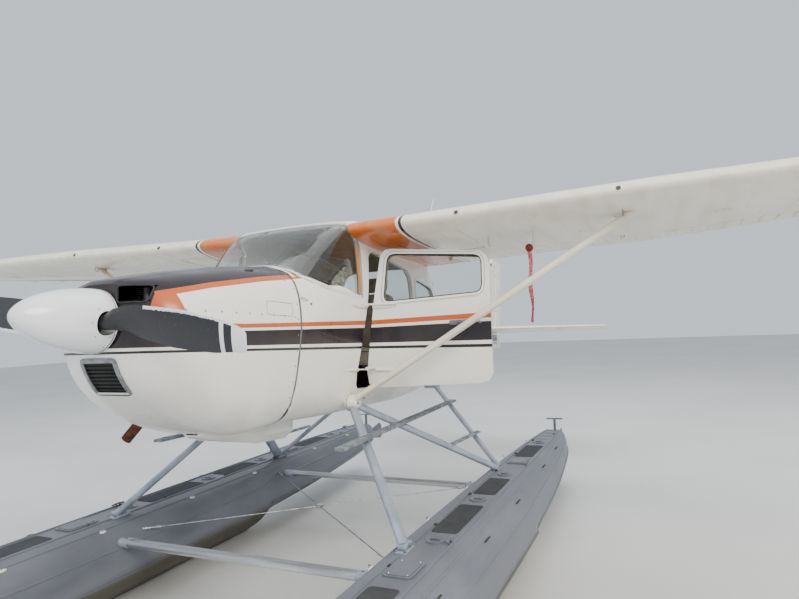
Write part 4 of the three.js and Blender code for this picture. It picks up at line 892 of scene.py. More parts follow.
for inner, level, names in (
        ("soot", 3, "cowl_upper"), ("soot", 2, "cowl_lower"), ("panel", 3, "cowl_deck"),
        ("lining", 3, "front_side_left front_side_right rear_side_left rear_side_right roof"),
        ("carpet", 2, "belly_floor"), ("lining", 2, "tail_deck"), ("primer", 3, "tailcone")):
    for node in names.split():
        reskin(node, bodyField, rowToAir, level, ["enamel", inner])
for node in ("windshield", "back_window", "side_window_left", "side_window_right"):
    reskin(node, bodyField, rowToAir, 3, ["glass"])
for word, side in sides.items():
    toClosed = doorPlace[side].inverted()
    reskin("door_" + word, bodyField, toClosed, 3, ["enamel", "lining"])
    reskin("door_window_" + word, bodyField, toClosed, 3, ["glass"])
    # the wing's sections run along its span, so its local station is the distance from the middle
    toSpan = Matrix(((0, 1, 0, 0), (side, 0, 0, 0), (0, 0, 1, 0), (0, 0, 0, 1))) @ rowToAir
    for node in ("wing_", "flap_", "aileron_"):
        reskin(node + word, wingField, toSpan, 3, ["wing"])
    toHull = Matrix.Translation((-side * hull["x"], 0, 0)) @ levelToRow.inverted()
    reskin("float_" + word, hullField, toHull, 3, ["hull"])
reskin("spinner", spinnerField, rowToAir, 3, ["spinner"])
print("skins made")

# Propeller: eight-point blade sections at nine radii, drawn as one smooth surface

blade = {
    "y": -1.085, "low": math.radians(7),
    "rows": np.array([         # radius, chord, thickness, pitch, offset along the turn
        [30, 92, 70, 45, 0], [150, 92, 60, 42, 6], [235, 140, 38, 37, 22], [400, 186, 24, 28, 22],
        [600, 192, 17, 20, 12], [800, 168, 12, 16, 4], [920, 130, 9, 14, 0], [980, 108, 7, 13, -8],
        [1000, 84, 5, 13, -14]]) * [0.001, 0.001, 0.001, 1, 0.001],
    "shape": np.array([(-0.5, 0), (-0.3, 0.45), (0, 0.75), (0.3, 0.6), (0.5, 0.05), (0.3, -0.2), (0, -0.25),
                       (-0.3, -0.15)]),
}


def bladeLoop(row):
    # the eight-point shape times chord and thickness, turned by the pitch and shifted along the turn
    _, chord, thick, pitch, shift = row
    c, s = math.cos(math.radians(pitch)), math.sin(math.radians(pitch))
    u, v = blade["shape"].T * [[chord], [thick]]
    return np.stack([shift + u * c - v * s, -u * s - v * c], -1)


def makePropeller():
    # each blade is the surface through the sections, turned about the shaft; its fields feed the paint
    surface = makeSurface(blade["rows"], bladeLoop, sharp=(0,))
    r, t = np.meshgrid(np.linspace(0.03, 1.0, 90), np.linspace(0, 8, 56, endpoint=False), indexing="ij")
    local = pointAt(surface, r, t)                 # along the turn, radius, along the shaft
    edge = np.interp(t, [0, 1, 2, 3, 4, 5, 6, 7, 8], [0, 0.2, 0.5, 0.8, 1, 0.8, 0.5, 0.2, 0])
    parts, fields = [], []
    for angle in (-blade["low"], math.pi - blade["low"]):
        out = np.array([math.cos(angle), 0, math.sin(angle)])
        turn = np.cross([0, -1, 0], out)
        points = (np.array([0, blade["y"], 0]) + local[..., 1:2] * out + local[..., :1] * turn
                  + local[..., 2:3] * [0, 1, 0])
        parts.append((points.reshape(-1, 3), closedFaces(*r.shape)))
        fields.append(np.stack([r, edge, t * 0], -1).reshape(-1, 3))
    hub = lathe([(0, -1.152), (0.066, -1.152), (0.071, -1.147), (0.071, -1.022), (0.066, -1.017),
                 (0, -1.017)], (0, 0, 0), (0, 1, 0), 40)
    parts.append(hub)
    fields.append(np.zeros((len(hub[0]), 3)))
    piece = build("propeller_blades", parts, "blade", body="propeller", smooth=30,
                  replaces="propeller")
    setField(piece.data, "bladeField", np.concatenate(fields))


makePropeller()

# Placing helpers for fittings

def grown(points, amount):
    # moves a closed outline outwards
    points = np.asarray(points, float)
    along = unit(np.roll(points, -1, 0) - np.roll(points, 1, 0))
    out = np.stack([along[:, 1], -along[:, 0]], -1)
    sign = np.sign(((points - points.mean(0)) * out).sum())
    return points + out * amount * sign


def bodySide(side):
    return lambda y, z: onBody(y, z, side)


def sideSign(x):
    return np.stack([np.where(x < 0, -1, 1), x * 0 + 1, x * 0 + 1], -1)


def onTop(y, x, zone="top"):
    # on the deck, roof or belly by station and distance from the middle, either side
    x = np.asarray(x, float)
    p, n = onBody(y, np.abs(x), 1, zone)
    return p * sideSign(x), n * sideSign(x)


def inward(place, depth):
    def inner(a, b):
        p, n = place(a, b)
        return p - n * depth, -n
    return inner


def around(y, pitch):
    # evenly spaced points round the body at one station
    t = np.linspace(0, 26, 500)
    p = pointAt(bodySurface, y, t)
    run = distances(p)
    t = np.interp(np.arange(pitch / 2, run[-1], pitch), run, t)
    return spotsOn(bodySurface, y, t)


def castOn(node, axis, sign):
    # places points on a CAD node by looking at it along one axis; a miss takes the nearest point
    mesh = nodes[node].data
    spots = moved(rowToAir, read(mesh.vertices, "co", 3))
    tree = BVHTree.FromPolygons(spots.tolist(), [list(f.vertices) for f in mesh.polygons])
    others = [k for k in range(3) if k != axis]
    toward = [0.0, 0.0, 0.0]
    toward[axis] = -float(sign)

    def place(a, b):
        found = []
        for u, v in np.stack(np.broadcast_arrays(a, b), -1).reshape(-1, 2):
            start = np.zeros(3)
            start[others] = u, v
            start[axis] = sign * 9.0
            hit = tree.ray_cast(start.tolist(), toward)
            if hit[0] is None:
                start[axis] = sign * 0.5
                hit = tree.find_nearest(start.tolist())
            found.append([*hit[0], *hit[1]])
        found = np.array(found)
        return found[:, :3], found[:, 3:] * np.sign((found[:, 3 + axis] * sign)[:, None] + 1e-9)
    return place


def streamline(thick, chord):
    # a symmetrical fairing section: thickness across, chord along the second coordinate
    s = (1 - np.cos(np.linspace(0, math.pi, 13))) / 2
    half = foilDepth(s) + 0.012 * s
    front = np.stack([half * thick, (s - 0.5) * chord], -1)
    return np.concatenate([front, front[-2:0:-1] * [-1, 1]])


def strut(start, end, thick, chord, up=(0, 1, 0), flare=(1.0, 1.0)):
    # a streamlined strut, its ends flared into cuffs
    start, end = np.asarray(start, float), np.asarray(end, float)
    at = np.array([0, 0.015, 0.04, 0.07, 0.93, 0.96, 0.985, 1])
    ease = np.array([1, 0.8, 0.3, 0, 0, 0.3, 0.8, 1])
    size = 1 + ease * np.where(at < 0.5, flare[0] - 1, flare[1] - 1)
    return sweep(start + at[:, None] * (end - start), streamline(thick, chord), up, size)


def bolt(at, axis, radius):
    # a hexagon head on a washer
    height = radius * 0.9
    washer = lathe([(0, -0.001), (radius * 1.5, -0.001), (radius * 1.5, 0.0012), (0, 0.0012)], at, axis, 14)
    head = lathe([(0, 0), (radius, 0), (radius, height * 0.85), (radius * 0.88, height), (0, height)],
                 at, axis, 6)
    return [washer, head]


def ball(at, radii, sides=24, rings=13):
    # (sin a, -cos a) turned about the vertical, times the three radii
    a = np.linspace(0, math.pi, rings)
    verts, faces = lathe(np.stack([np.sin(a), -np.cos(a)], -1), (0, 0, 0), (0, 0, 1), sides)
    return np.asarray(at) + verts * radii, faces


# Cowl: intake slats, inlet lips and fins, fasteners, access door, vent

cowlFittings = {"intake": (-0.122, 0.102, -0.358, -0.205), "slats": 8, "inlet": (0.125, 0.305, 0.088, 0.178),
                "hatch": [(-0.27, 0.066), (-0.02, 0.072), (-0.02, 0.152), (-0.27, 0.148)]}


def onNose(x, z, zone):
    # on the nose bowl by its front view: the station where the body's section passes through (x, z)
    x, z = np.broadcast_arrays(np.atleast_1d(x), np.atleast_1d(z))
    stations = np.linspace(-1.0145, -0.75, 90)
    if zone == "belly":
        depth = onBody(stations[None], np.abs(x)[:, None], 1, "belly")[0][..., 2]
        y = np.array([np.interp(-b, -g, stations) for b, g in zip(z, depth)])
        n = onBody(y, np.abs(x), 1, "belly")[1]
    else:
        width = onBody(stations[None], z[:, None])[0][..., 0]
        y = np.array([np.interp(a, g, stations) for a, g in zip(np.abs(x), width)])
        n = np.where((y < -1.013)[:, None], [0, -1, 0], onBody(y, z)[1])
    return np.stack([x, y, z], -1), n * sideSign(x)


def makeIntakeGrille():
    x0, x1, z0, z1 = cowlFittings["intake"]
    rim = roundedOutline(grown([(x0, z0), (x1, z0), (x1, z1), (x0, z1)], 0.01), 0.014)
    p, n = onNose(*spaced(rim, 0.012, True).T, "belly")
    frameRing = sweep(p + n * 0.002, slabProfile(0.026, 0.011, 0.002, 2), n, ring=True)
    sill, sillUp = onNose(*spaced([(x0, z0 - 0.004), (x1, z0 - 0.004)], 0.02).T, "belly")
    parts = Parts().add(0, frameRing)
    parts.add(1, sweep(sill + sillUp * 0.006, slabProfile(0.012, 0.006, 0.002, 2), sillUp))
    for z in np.linspace(z0, z1, cowlFittings["slats"] * 2 + 1)[1::2]:
        (at,), _ = onNose((x0 + x1) / 2, z, "belly")
        parts.add(2, bar((x0, at[1] + 0.004, z), (x1, at[1] + 0.004, z), 0.013, 0.004, (0, 0.7, 1)))
    build("cowl_intake_grille", parts, "steel white slat")


def makeInlets():
    x0, x1, z0, z1 = cowlFittings["inlet"]
    parts = Parts()
    for side in (1, -1):
        rim = spaced(roundedOutline([(x0, z0), (x1, z0), (x1, z1), (x0, z1)], 0.03), 0.012, True) * [side, 1]
        p, n = onNose(*rim.T, "side")
        parts.add(0, tube(p + n * 0.001, 0.0055, 8, n, ring=True))
        for z in np.linspace(z0 + 0.006, z1 - 0.004, 9):
            parts.add(1, bar((side * 0.135, -0.885, z), (side * 0.298, -0.865, z), 0.045, 0.0022))
        parts.add(1, tube([(side * 0.2, -0.89, z0 + 0.01), (side * 0.2, -0.89, z1 - 0.005)], 0.018, 14))
        parts.add(2, bar((side * 0.11, -0.93, z0 - 0.004), (side * 0.31, -0.91, z0 - 0.004), 0.12, 0.003))
    build("cowl_inlets", parts, "rubber cast rubber")


def makeFasteners():
    parts = Parts()
    for side in (1, -1):
        place = bodySide(side)
        p, n = place(*np.concatenate([spaced([(0.036, -0.53), (0.036, 0.35)], 0.098),
                                      spaced([(-0.86, 0.052), (0.0, 0.07)], 0.112),
                                      [(-0.3, 0.335), (-0.16, 0.345), (-0.02, 0.3)]]).T)
        parts.add(0, domes(p, n, 0.0065, 0.0016, 10))
        parts.add(1, domes(p + n * 0.0012, n, 0.003, 0.0012, 6),
                  ribbon(place, cowlFittings["hatch"], 0.003, 0.0006, 0.03, True),
                  domes(*place(0.18, 0.165), 0.011, 0.0008, 12))
        foot, out = place(0.075, 0.2)
        parts.add(2, tube([foot - out * 0.005, foot + out * 0.012, foot + out * 0.02 + [0, 0.03, -0.008],
                           foot + out * 0.022 + [0, 0.062, -0.018]], 0.0065, 10))
        foot, out = place(-0.235, 0.345)
        parts.add(1, bar(foot + [0, -0.03, -0.006], foot + [0, 0.03, 0.006], 0.022, 0.014, out))
    build("cowl_fasteners", parts, "steel gap white")
    # the lower cowl's rear edge
    p, n = onTop(0.052, np.linspace(-0.42, 0.42, 25), "belly")
    build("cowl_belly_seam", [sweep(p, slabProfile(0.008, 0.003, 0.001, 1), n)], "gap")


makeIntakeGrille()
makeInlets()
makeFasteners()


def makeSpinnerParts():
    s = spinnerShape

    def radius(y):
        share = (np.asarray(y) - s["tip"]) / (s["back"] - s["tip"])
        return s["r"] * (share * (2 - share)) ** 0.6

    a, turn = turns(16) + 0.15, turns(40)
    ring = np.stack([np.sin(a), a * 0, np.cos(a)], -1)
    spots, outs = [ring * radius(-1.058) + [0, -1.058, 0]], [ring]
    parts = Parts()
    seam = np.stack([np.sin(turn), turn * 0, np.cos(turn)], -1)
    parts.add(1, tube(seam * 0.1655 + [0, -1.04, 0], 0.0018, 6, seam, ring=True))
    for angle in (-blade["low"], math.pi - blade["low"]):
        out = np.array([math.cos(angle), 0, math.sin(angle)])
        over = np.array([-math.sin(angle), 0, math.cos(angle)])
        for reach, b, isLip in ((0.0625, turn, True), (0.082, np.linspace(2.2, 4.1, 9), False)):
            y, u = np.minimum(-1.089 + reach * np.cos(b), s["back"] - 0.002), reach * np.sin(b)
            x = np.sqrt(np.maximum(radius(y) ** 2 - u ** 2, 0.001))
            p = x[:, None] * out + u[:, None] * over
            n = unit(p)
            p = p + np.stack([y * 0, y, y * 0], -1)
            if isLip:
                parts.add(2, tube(p, 0.0032, 8, n, ring=True))
            else:
                spots.append(p[::4])
                outs.append(n[::4])
    parts.add(0, domes(np.concatenate(spots), np.concatenate(outs), 0.0042, 0.0014, 8))
    build("spinner_screws", parts, "steel gap spinner", body="propeller")


makeSpinnerParts()

# Windscreen strips, pillars, hinge fairings and fuselage rivets

cabinLines = {
    "screen": [(0.11, 0.462), (0.16, 0.352), (0.262, 0.318), (0.396, 0.29), (0.6, 0.276), (0.806, 0.264)],
    "pillar": [(0.806, 0.264), (0.806, 0.65), (0.77, 0.712)],
    "doorPost": [(0.77, 0.292), (0.77, 0.65)],
    "rear": [(1.855, 0.262), (2.292, 0.29), (2.342, 0.322), (2.352, 0.382), (2.31, 0.478), (2.266, 0.503),
             (1.886, 0.537), (1.852, 0.514), (1.839, 0.48), (1.835, 0.292)],
    "hinges": (0.2, -0.27),
}


def pod(place, start, end, widths, heights, pitch=0.012):
    # a low fairing along a surface: an ellipse half sunk in it, its width and height changing on the way
    at = spaced([start, end], pitch)
    p, n = place(*at.T)
    share = np.linspace(0, 1, len(at))
    known = np.linspace(0, 1, len(widths))
    size = np.stack([np.interp(share, known, widths), np.interp(share, known, heights)], -1)
    return sweep(p, circle(1, 14), n, size)


def bead(place, start, end, wide=0.011, high=0.0034, pitch=0.03):
    # a bead pressed into a sheet
    return pod(place, start, end, (0.003, wide, wide - 0.001, 0.003), (0.001, high, 0.003, 0.001), pitch)


def makeCabinTrim():
    c = cabinLines
    strips, marks = Parts(), Parts()
    for side in (1, -1):
        place = bodySide(side)
        for k, line, *size in (
                (0, c["screen"], 0.024, 0.0025), (3, c["pillar"], 0.024, 0.003),
                (2, c["doorPost"], 0.042, 0.002), (0, c["rear"], 0.02, 0.0035, 0.03, True),
                (1, grown(c["rear"], -0.013), 0.01, 0.0022, 0.03, True)):
            strips.add(k, ribbon(place, line, *size))
        p, n = place(*spaced(c["screen"], 0.055).T)
        marks.add(0, domes(p + n * 0.0022, n, 0.0035, 0.0012))
        for z in c["hinges"]:
            wide = 0.021 if z > 0 else 0.015
            strips.add(0, pod(place, (0.655, z), (0.82, z), (0.004, wide, wide), (0.003, 0.013, 0.015)))
        # lines of rivets on the side panels, and the rear seam
        rows = [[(0.095, -0.52), (0.095, 0.33)], [(0.115, -0.4), (0.8, -0.39)], [(0.12, 0.235), (0.8, 0.245)],
                [(0.44, -0.52), (0.44, 0.235)], [(1.83, -0.48), (1.83, 0.24)], [(2.32, -0.44), (2.32, 0.24)],
                [(1.85, -0.3), (3.05, -0.2)], [(1.85, 0.22), (3.05, 0.16)], [(2.72, -0.36), (2.72, 0.3)]]
        marks.add(1, rivets(place, rows, 0.042))
    p, n = onTop(0.104, np.linspace(-0.43, 0.43, 23))
    strips.add(0, sweep(p, slabProfile(0.026, 0.005, 0.001, 1), n))
    for y in (1.02, 1.45, 1.85):
        marks.add(1, domes(*onTop(y, np.linspace(-0.42, 0.42, 12))))
    build("cabin_strips", strips, "white rubber tan strut")
    build("cabin_rivets", marks, "steel enamel")


def makeTailcone():
    # lap seams, rivet rings and lengthwise rows; the baggage door's outline, handle and hinges
    marks, seams = Parts(), Parts()
    for y in (3.13, 3.62, 4.1, 4.6, 5.1, 5.6, 6.05):
        marks.add(0, domes(*around(y, 0.045)))
    for y in (3.62, 4.6, 5.6):
        t = np.linspace(0, 26, 90, endpoint=False)
        p, n = spotsOn(bodySurface, y, t)
        seams.add(0, sweep(p, slabProfile(0.004, 0.0016, 0.0004, 1), n, ring=True))
    for t in (3.5, 8.0, 11.0, 16.0, 19.0, 23.5):
        y = np.arange(3.2, 6.2, 0.05)
        marks.add(0, domes(*spotsOn(bodySurface, y, t)))
    baggage = roundedOutline([(2.42, -0.24), (2.86, -0.2), (2.86, 0.12), (2.42, 0.12)], 0.05)
    seams.add(0, ribbon(bodySide(1), baggage, 0.005, 0.0008, 0.03, True))
    seams.add(1, pod(bodySide(1), (2.81, -0.03), (2.84, -0.03), (0.012, 0.012), (0.006, 0.006)))
    seams.add(2, domes(*bodySide(1)([2.43, 2.43], [-0.17, 0.06]), 0.012, 0.008, 10))
    build("fuselage_rivets", marks, "enamel")
    build("fuselage_seams", seams, "gap steel white")


makeCabinTrim()
makeTailcone()

doorLines = {
    "window": [(0.992, 0.236), (1.03, 0.232), (1.676, 0.27), (1.708, 0.29), (1.718, 0.33), (1.716, 0.5),
               (1.7, 0.536), (1.664, 0.55), (1.06, 0.592), (1.022, 0.584), (1.002, 0.552), (0.98, 0.27)],
    "edge": [(0.842, -0.28), (0.852, -0.362), (0.878, -0.389), (1.674, -0.357), (1.728, -0.342),
             (1.754, -0.298), (1.758, 0.464), (1.74, 0.526), (1.7, 0.559), (1.042, 0.616), (0.992, 0.611),
             (0.964, 0.582)],
    "wall": 0.0405,
}


def makeDoorTrim(word, side):
    d = doorLines
    body, spot = "door_" + word, doorPlace[side]
    outer = bodySide(side)
    inner = inward(outer, d["wall"])
    ring = roundedOutline(d["window"], 0.012, 2)
    parts = Parts()
    # round the window: a raised white band; just outside it a thin dark ring in the seal rubber finish,
    # partly the joint at the band's edge and partly painted shadow along that edge; the seal at the glass;
    # inside, the lining's frame and the seal along the door's edge
    for k, place, line, out, wide, high, pitch in (
            (0, outer, ring, 0.012, 0.024, 0.0055, 0.02), (1, outer, ring, 0.018, 0.003, 0.0061, 0.02),
            (1, outer, ring, -0.003, 0.01, 0.0032, 0.02), (3, inner, ring, 0.016, 0.036, 0.008, 0.02),
            (1, inner, d["edge"], -0.016, 0.012, 0.005, 0.03)):
        parts.add(k, ribbon(place, grown(line, out), wide, high, pitch, True))
    for z in cabinLines["hinges"]:
        wide = 0.02 if z > 0 else 0.014
        parts.add(0, pod(outer, (0.894, z), (1.1, z), (wide, wide, 0.004), (0.013, 0.011, 0.003)))
    # outside: lock, lever handle; inside: padded panel, armrest, pull, latch lever, pocket
    handle, up = outer([1.5, 1.6], [0.062, 0.066])
    plate = roundedOutline([(1.47, 0.045), (1.64, 0.05), (1.64, 0.084), (1.47, 0.079)], 0.014)
    lever = [handle[0], handle[0] + up[0] * 0.014, handle[1] + up[1] * 0.016, handle[1] + up[1] * 0.004]
    parts.add(2, patch(outer, plate, 0.0022), tube(lever, 0.006, 8),
              domes(*outer(1.69, 0.06), 0.012, 0.004, 14))
    panel = roundedOutline([(0.91, -0.33), (1.66, -0.3), (1.7, -0.26), (1.7, 0.18), (0.95, 0.16),
                            (0.91, 0.12)], 0.05)
    parts.add(3, patch(inner, panel, 0.0035, 6))
    p, n = inner(*spaced([(1.08, -0.055), (1.55, -0.035)], 0.03).T)
    size = np.interp(np.arange(len(p)), [0, 2, len(p) - 3, len(p) - 1], [0.55, 1, 1, 0.55])
    parts.add(4, sweep(p + n * 0.018, slabProfile(0.052, 0.042, 0.018), n, size))
    p, n = inner([1.3, 1.3, 1.46, 1.46], [0.115, 0.115, 0.12, 0.12])
    parts.add(2, tube(p + n * [[0.0], [0.03], [0.03], [0.0]], 0.007, 8))
    p, n = inner([1.6, 1.6, 1.5], [0.03, 0.03, 0.01])
    parts.add(2, domes(p[:1], n[:1], 0.026, 0.008, 16))
    parts.add(5, tube(p + n * [[0.0], [0.018], [0.024]], 0.0065, 8))
    pocket = roundedOutline([(0.98, -0.29), (1.4, -0.275), (1.4, -0.13), (0.98, -0.14)], 0.03)
    parts.add(3, patch(inner, pocket, 0.016, 4))
    parts.add(4, ribbon(inner, [(0.985, -0.142), (1.395, -0.132)], 0.012, 0.02))
    rows = [[(0.9, -0.365), (1.7, -0.335)], [(1.735, -0.25), (1.735, 0.45)], [(0.97, 0.2), (1.72, 0.225)]]
    parts.add(0, rivets(outer, rows, 0.055))
    build(body + "_fittings", parts, "enamel rubber steel lining vinyl panel", spot, body=body)


for word, side in sides.items():
    makeDoorTrim(word, side)
print("cowl, cabin and door fittings made")

# Wings: lift struts, rivets, panels, beads, tip lights, wicks and aerial

wingFittings = {"strutFoot": (0.478, 0.782, -0.505), "strutTop": (2.549, 1.041, 0.8), "holes": (1.348, 2.397),
                "flap": (0.62, 2.585), "aileron": (2.64, 5.03)}


def wingFaces(side):
    return (lambda x, u: onWing(x, u, side, True)), (lambda x, u: onWing(x, u, side, False))


def makeLiftStrut(word, side):
    w = wingFittings
    foot, top = np.array(w["strutFoot"]) * [side, 1, 1], np.array(w["strutTop"]) * [side, 1, 1]
    parts = Parts().add(0, strut(foot, top, 0.048, 0.112, flare=(0.9, 1.28)))
    along = unit(top - foot)
    across = np.cross(along, [0, 1, 0])
    for at in (foot + along * 0.1, top - along * 0.055):
        for way in (across, -across):
            parts.add(1, *bolt(at + way * 0.0245, way, 0.008))
    build("wing_strut_" + word + "_fine", parts, "cream steel", replaces="wing_strut_" + word)


def makeWingFittings(word, side):
    # tie-down ring, hinge heads, strut holes, tank panel, inspection covers, filler cap, aerial and vent
    upper, lower = wingFaces(side)
    a = turns(20)
    hoop = np.stack([a * 0, np.cos(a) * 0.019, np.sin(a) * 0.019 - 0.021], -1) + lower(2.4, 0.155)[0]
    parts = Parts().add(0, tube(hoop, 0.0032, 8, (1, 0, 0), ring=True))
    parts.add(1, domes(*lower([0.78, 1.62, 2.34, 2.66], [0.58, 0.57, 0.24, 0.3]), 0.011, 0.007, 10))
    parts.add(2, domes(*upper(wingFittings["holes"], 0.0015), 0.017, 0.0012, 14))
    tank = roundedOutline([(0.96, 0.11), (1.3, 0.11), (1.3, 0.56), (0.96, 0.56)], 0.05)
    parts.add(3, ribbon(lower, tank, 0.009, 0.0035, 0.03, True))
    for x, u in ((3.0, 0.42), (3.6, 0.42), (4.2, 0.42), (4.8, 0.42), (2.1, 0.45)):
        parts.add(3, domes(*lower(x, u), 0.058, 0.0022, 28))
        b = turns(8)
        q, m = lower(x + 0.049 * np.cos(b), u + 0.049 * np.sin(b) / 1.5)
        parts.add(0, domes(q + m * 0.0012, m, 0.0035, 0.0012))
    cap, up = upper(1.15, 0.3)
    parts.add(0, lathe([(0, 0), (0.048, 0), (0.048, 0.004), (0.03, 0.007), (0.03, 0.016), (0, 0.018)],
                       cap, up, 24))
    if side > 0:
        base, up = upper(1.04, 0.2)
        parts.add(3, pod(upper, (1.04, 0.17), (1.04, 0.23), (0.004, 0.016, 0.004), (0.002, 0.012, 0.002)))
        parts.add(1, tube([base, base + [0.0, 0.02, 0.06], base + [0.004, 0.052, 0.125]], 0.0028, 6))
        vent, up = lower(1.42, 0.33)
        parts.add(3, tube([vent, vent + [0, 0.0, -0.035], vent + [0, 0.03, -0.058]], 0.009, 10))
    build("wing_fittings_" + word, parts, "steel white gap cream")


def makeWingRivets(word, side):
    # spars and ribs, above and below
    upper, lower = wingFaces(side)
    spars = [[(0.93, u), (5.3, u)] for u in (0.06, 0.245, 0.44, 0.6)]
    ribs = [[(x, 0.07), (x, 0.7)] for x in np.arange(0.98, 5.3, 0.36)]
    marks = [rivets(place, rows, pitch, 0.003, 0.0009) for place in (upper, lower)
             for rows, pitch in ((spars, 0.058), (ribs, 0.032))]
    build("wing_rivets_" + word, marks, "cream")
    # a band round the wing's root
    bands = [ribbon(place, [(0.64, 0.02), (0.64, 0.7)], 0.01, 0.0022) for place in (upper, lower)]
    build("wing_root_bands_" + word, bands, "orange")


def makeFlapBeads(word, side):
    w, (upper, lower) = wingFittings, wingFaces(side)
    for kind, ends, start in (("flap_", w["flap"], 0.775), ("aileron_", w["aileron"], 0.8)):
        parts = [bead(place, (x, start), (x, 0.965), pitch=0.02)
                 for x in np.arange(ends[0] + 0.07, ends[1] - 0.04, 0.115) for place in (upper, lower)]
        build(kind + word + "_beads", parts, "cream", body=kind + word)


def makeWingTip(word, side):
    # the light and its fairing, and static wicks on the aileron
    upper, _ = wingFaces(side)
    tip, _ = upper(5.4, 0.03)
    parts = Parts().add(0, ball(tip + [side * 0.022, 0.012, -0.012], (0.032, 0.055, 0.024)))
    parts.add(1, ball(tip + [side * 0.006, 0.025, -0.012], (0.03, 0.07, 0.03)))
    build("wing_tip_light_" + word, parts, ("redLens" if side > 0 else "greenLens") + " cream")
    wicks = []
    for x in (3.9, 4.5, 4.95):
        at, _ = upper(x, 0.985)
        wicks.append(tube([at, at + [0, 0.05, -0.003], at + [0, 0.13, -0.01]], 0.0018, 6))
    build("aileron_wicks_" + word, wicks, "rubber", body="aileron_" + word)


for word, side in sides.items():
    for make in (makeLiftStrut, makeWingFittings, makeWingRivets, makeFlapBeads, makeWingTip):
        make(word, side)

# Pitot mast: a red cover over the tube's mouth, and its streamer
build("pitot_cover", [ball((1.758, 1.052, 0.572), (0.028, 0.034, 0.028), 20, 11),
                      tube([(1.758, 1.075, 0.572), (1.758, 1.105, 0.572)], 0.014, 12)], "red")
streamer = {"width": 0.03, "length": 0.5, "thick": 0.0012, "sway": 0.006, "twist": 0.9}


def makeStreamer():
    # a plain webbing strip that hangs from the cover: it sways and twists a little on its way down
    s = streamer
    down = np.linspace(0, s["length"], 60)
    half = np.linspace(-0.5, 0.5, 9) * s["width"]
    turn = s["twist"] * np.sin(down * 11)
    start = moved(airToRow, [1.758, 1.052, 0.546])
    middle = start + np.stack([s["sway"] * np.sin(down * 21), 0.004 * np.sin(down * 13), -down], -1)
    across = np.stack([np.cos(turn), np.sin(turn), turn * 0], -1)
    face = np.stack([-np.sin(turn), np.cos(turn), turn * 0], -1) * s["thick"] / 2
    sheetOf = middle[:, None] + across[:, None] * half[None, :, None]
    loop = np.concatenate([sheetOf + face[:, None], (sheetOf - face[:, None])[:, ::-1]], 1)
    piece = build("pitot_streamer", [(loop.reshape(-1, 3), closedFaces(*loop.shape[:2]))], "streamer", inRow)


makeStreamer()
print("wing fittings made")

# Float gear: struts, feet, fairings, spreader bars, bracing wires, steps

gear = {"base": 1.154, "front": 0.083, "rear": 2.111, "deck": 0.62, "fitting": (0.478, 0.782, -0.505),
        "rearFitting": (0.392, 2.66, -0.425)}


def levelPoint(x, y, z):
    return moved(levelToRow, [x, y, z])


def makeFloatStruts(word, side):
    g = gear
    fit = moved(airToRow, np.array(g["fitting"]) * [side, 1, 1])
    back = moved(airToRow, np.array(g["rearFitting"]) * [side, 1, 1])
    foot = lambda y: levelPoint(side * g["base"], y, g["deck"] + 0.022)
    parts = Parts().add(0, strut(foot(g["front"]), fit, 0.042, 0.092, flare=(1.12, 0.9)),
                        strut(foot(g["rear"] - 0.04), fit, 0.04, 0.084, flare=(1.1, 0.9)),
                        strut(foot(g["rear"] + 0.03), back, 0.04, 0.084, flare=(1.1, 0.9)))
    parts.add(2, strut(levelPoint(side * 0.905, 1.56, 0.913), levelPoint(side * 0.925, 2.33, 0.895),
                       0.026, 0.06, (1, 0, 0)))
    for y in (g["front"], g["rear"]):
        centre = levelPoint(side * g["base"], y, 0)
        for low, high, long, wide in ((0.56, 0.612, 0.17, 0.092), (0.612, 0.634, 0.15, 0.074),
                                      (0.634, 0.664, 0.11, 0.056)):
            a, b = centre + [0, -long / 2, (low + high) / 2], centre + [0, long / 2, (low + high) / 2]
            parts.add(0, bar(a, b, wide, high - low, corner=0.008))
        for dx in (-0.03, 0.03):
            for dy in (-0.066, 0.066):
                parts.add(1, *bolt(centre + [dx, dy, 0.634], (0, 0, 1), 0.0065))
        for end in (1, -1):
            parts.add(1, *bolt(centre + [end * 0.029, 0, 0.652], (end, 0, 0), 0.008))
    bracket = moved(airToRow, [[side * 0.302, 2.66, -0.436], [side * 0.438, 2.66, -0.436]])
    parts.add(0, bar(*bracket, 0.096, 0.064, corner=0.008))
    parts.add(1, *bolt(back + [side * 0.02, 0, 0.0], (side, 0, 0), 0.01))
    build("float_struts_" + word + "_fine", parts, "strut steel step", inRow, replaces="float_struts_" + word)


def makeStrutFairing(word, side):
    # where the lift strut and two float struts meet the cabin
    cabin = np.array(gear["fitting"]) * [side, 1, 1]
    parts = Parts().add(0, ball(cabin, (0.066, 0.086, 0.064), 32, 17))
    a = turns(32)
    hoop = cabin + np.stack([a * 0, np.cos(a) * 0.0865, np.sin(a) * 0.0645], -1)
    parts.add(1, tube(hoop, 0.0018, 6, (1, 0, 0), ring=True))
    parts.add(2, *bolt(cabin + [side * 0.062, -0.02, 0.0], (side, 0, 0), 0.009))
    build("strut_fairing_" + word, parts, "white gap steel")


def makeStepTread(word, side):
    start, end = np.array([side * 0.742, 0.13, -0.752]), np.array([side * 0.628, 2.56, -0.588])
    parts = Parts()
    for low, high in ((0.03, 0.3), (0.36, 0.62), (0.68, 0.95)):
        a, b = start + (end - start) * low, start + (end - start) * high
        parts.add(0, bar(a + [0, 0, 0.0105], b + [0, 0, 0.0105], 0.056, 0.005))
    for share in (0.015, 0.33, 0.65, 0.985):
        parts.add(1, *bolt(start + (end - start) * share + [0, 0, 0.009], (0, 0, 1), 0.006))
    build("boarding_step_tread_" + word, parts, "step steel")


for word, side in sides.items():
    for make in (makeFloatStruts, makeStrutFairing, makeStepTread):
        make(word, side)

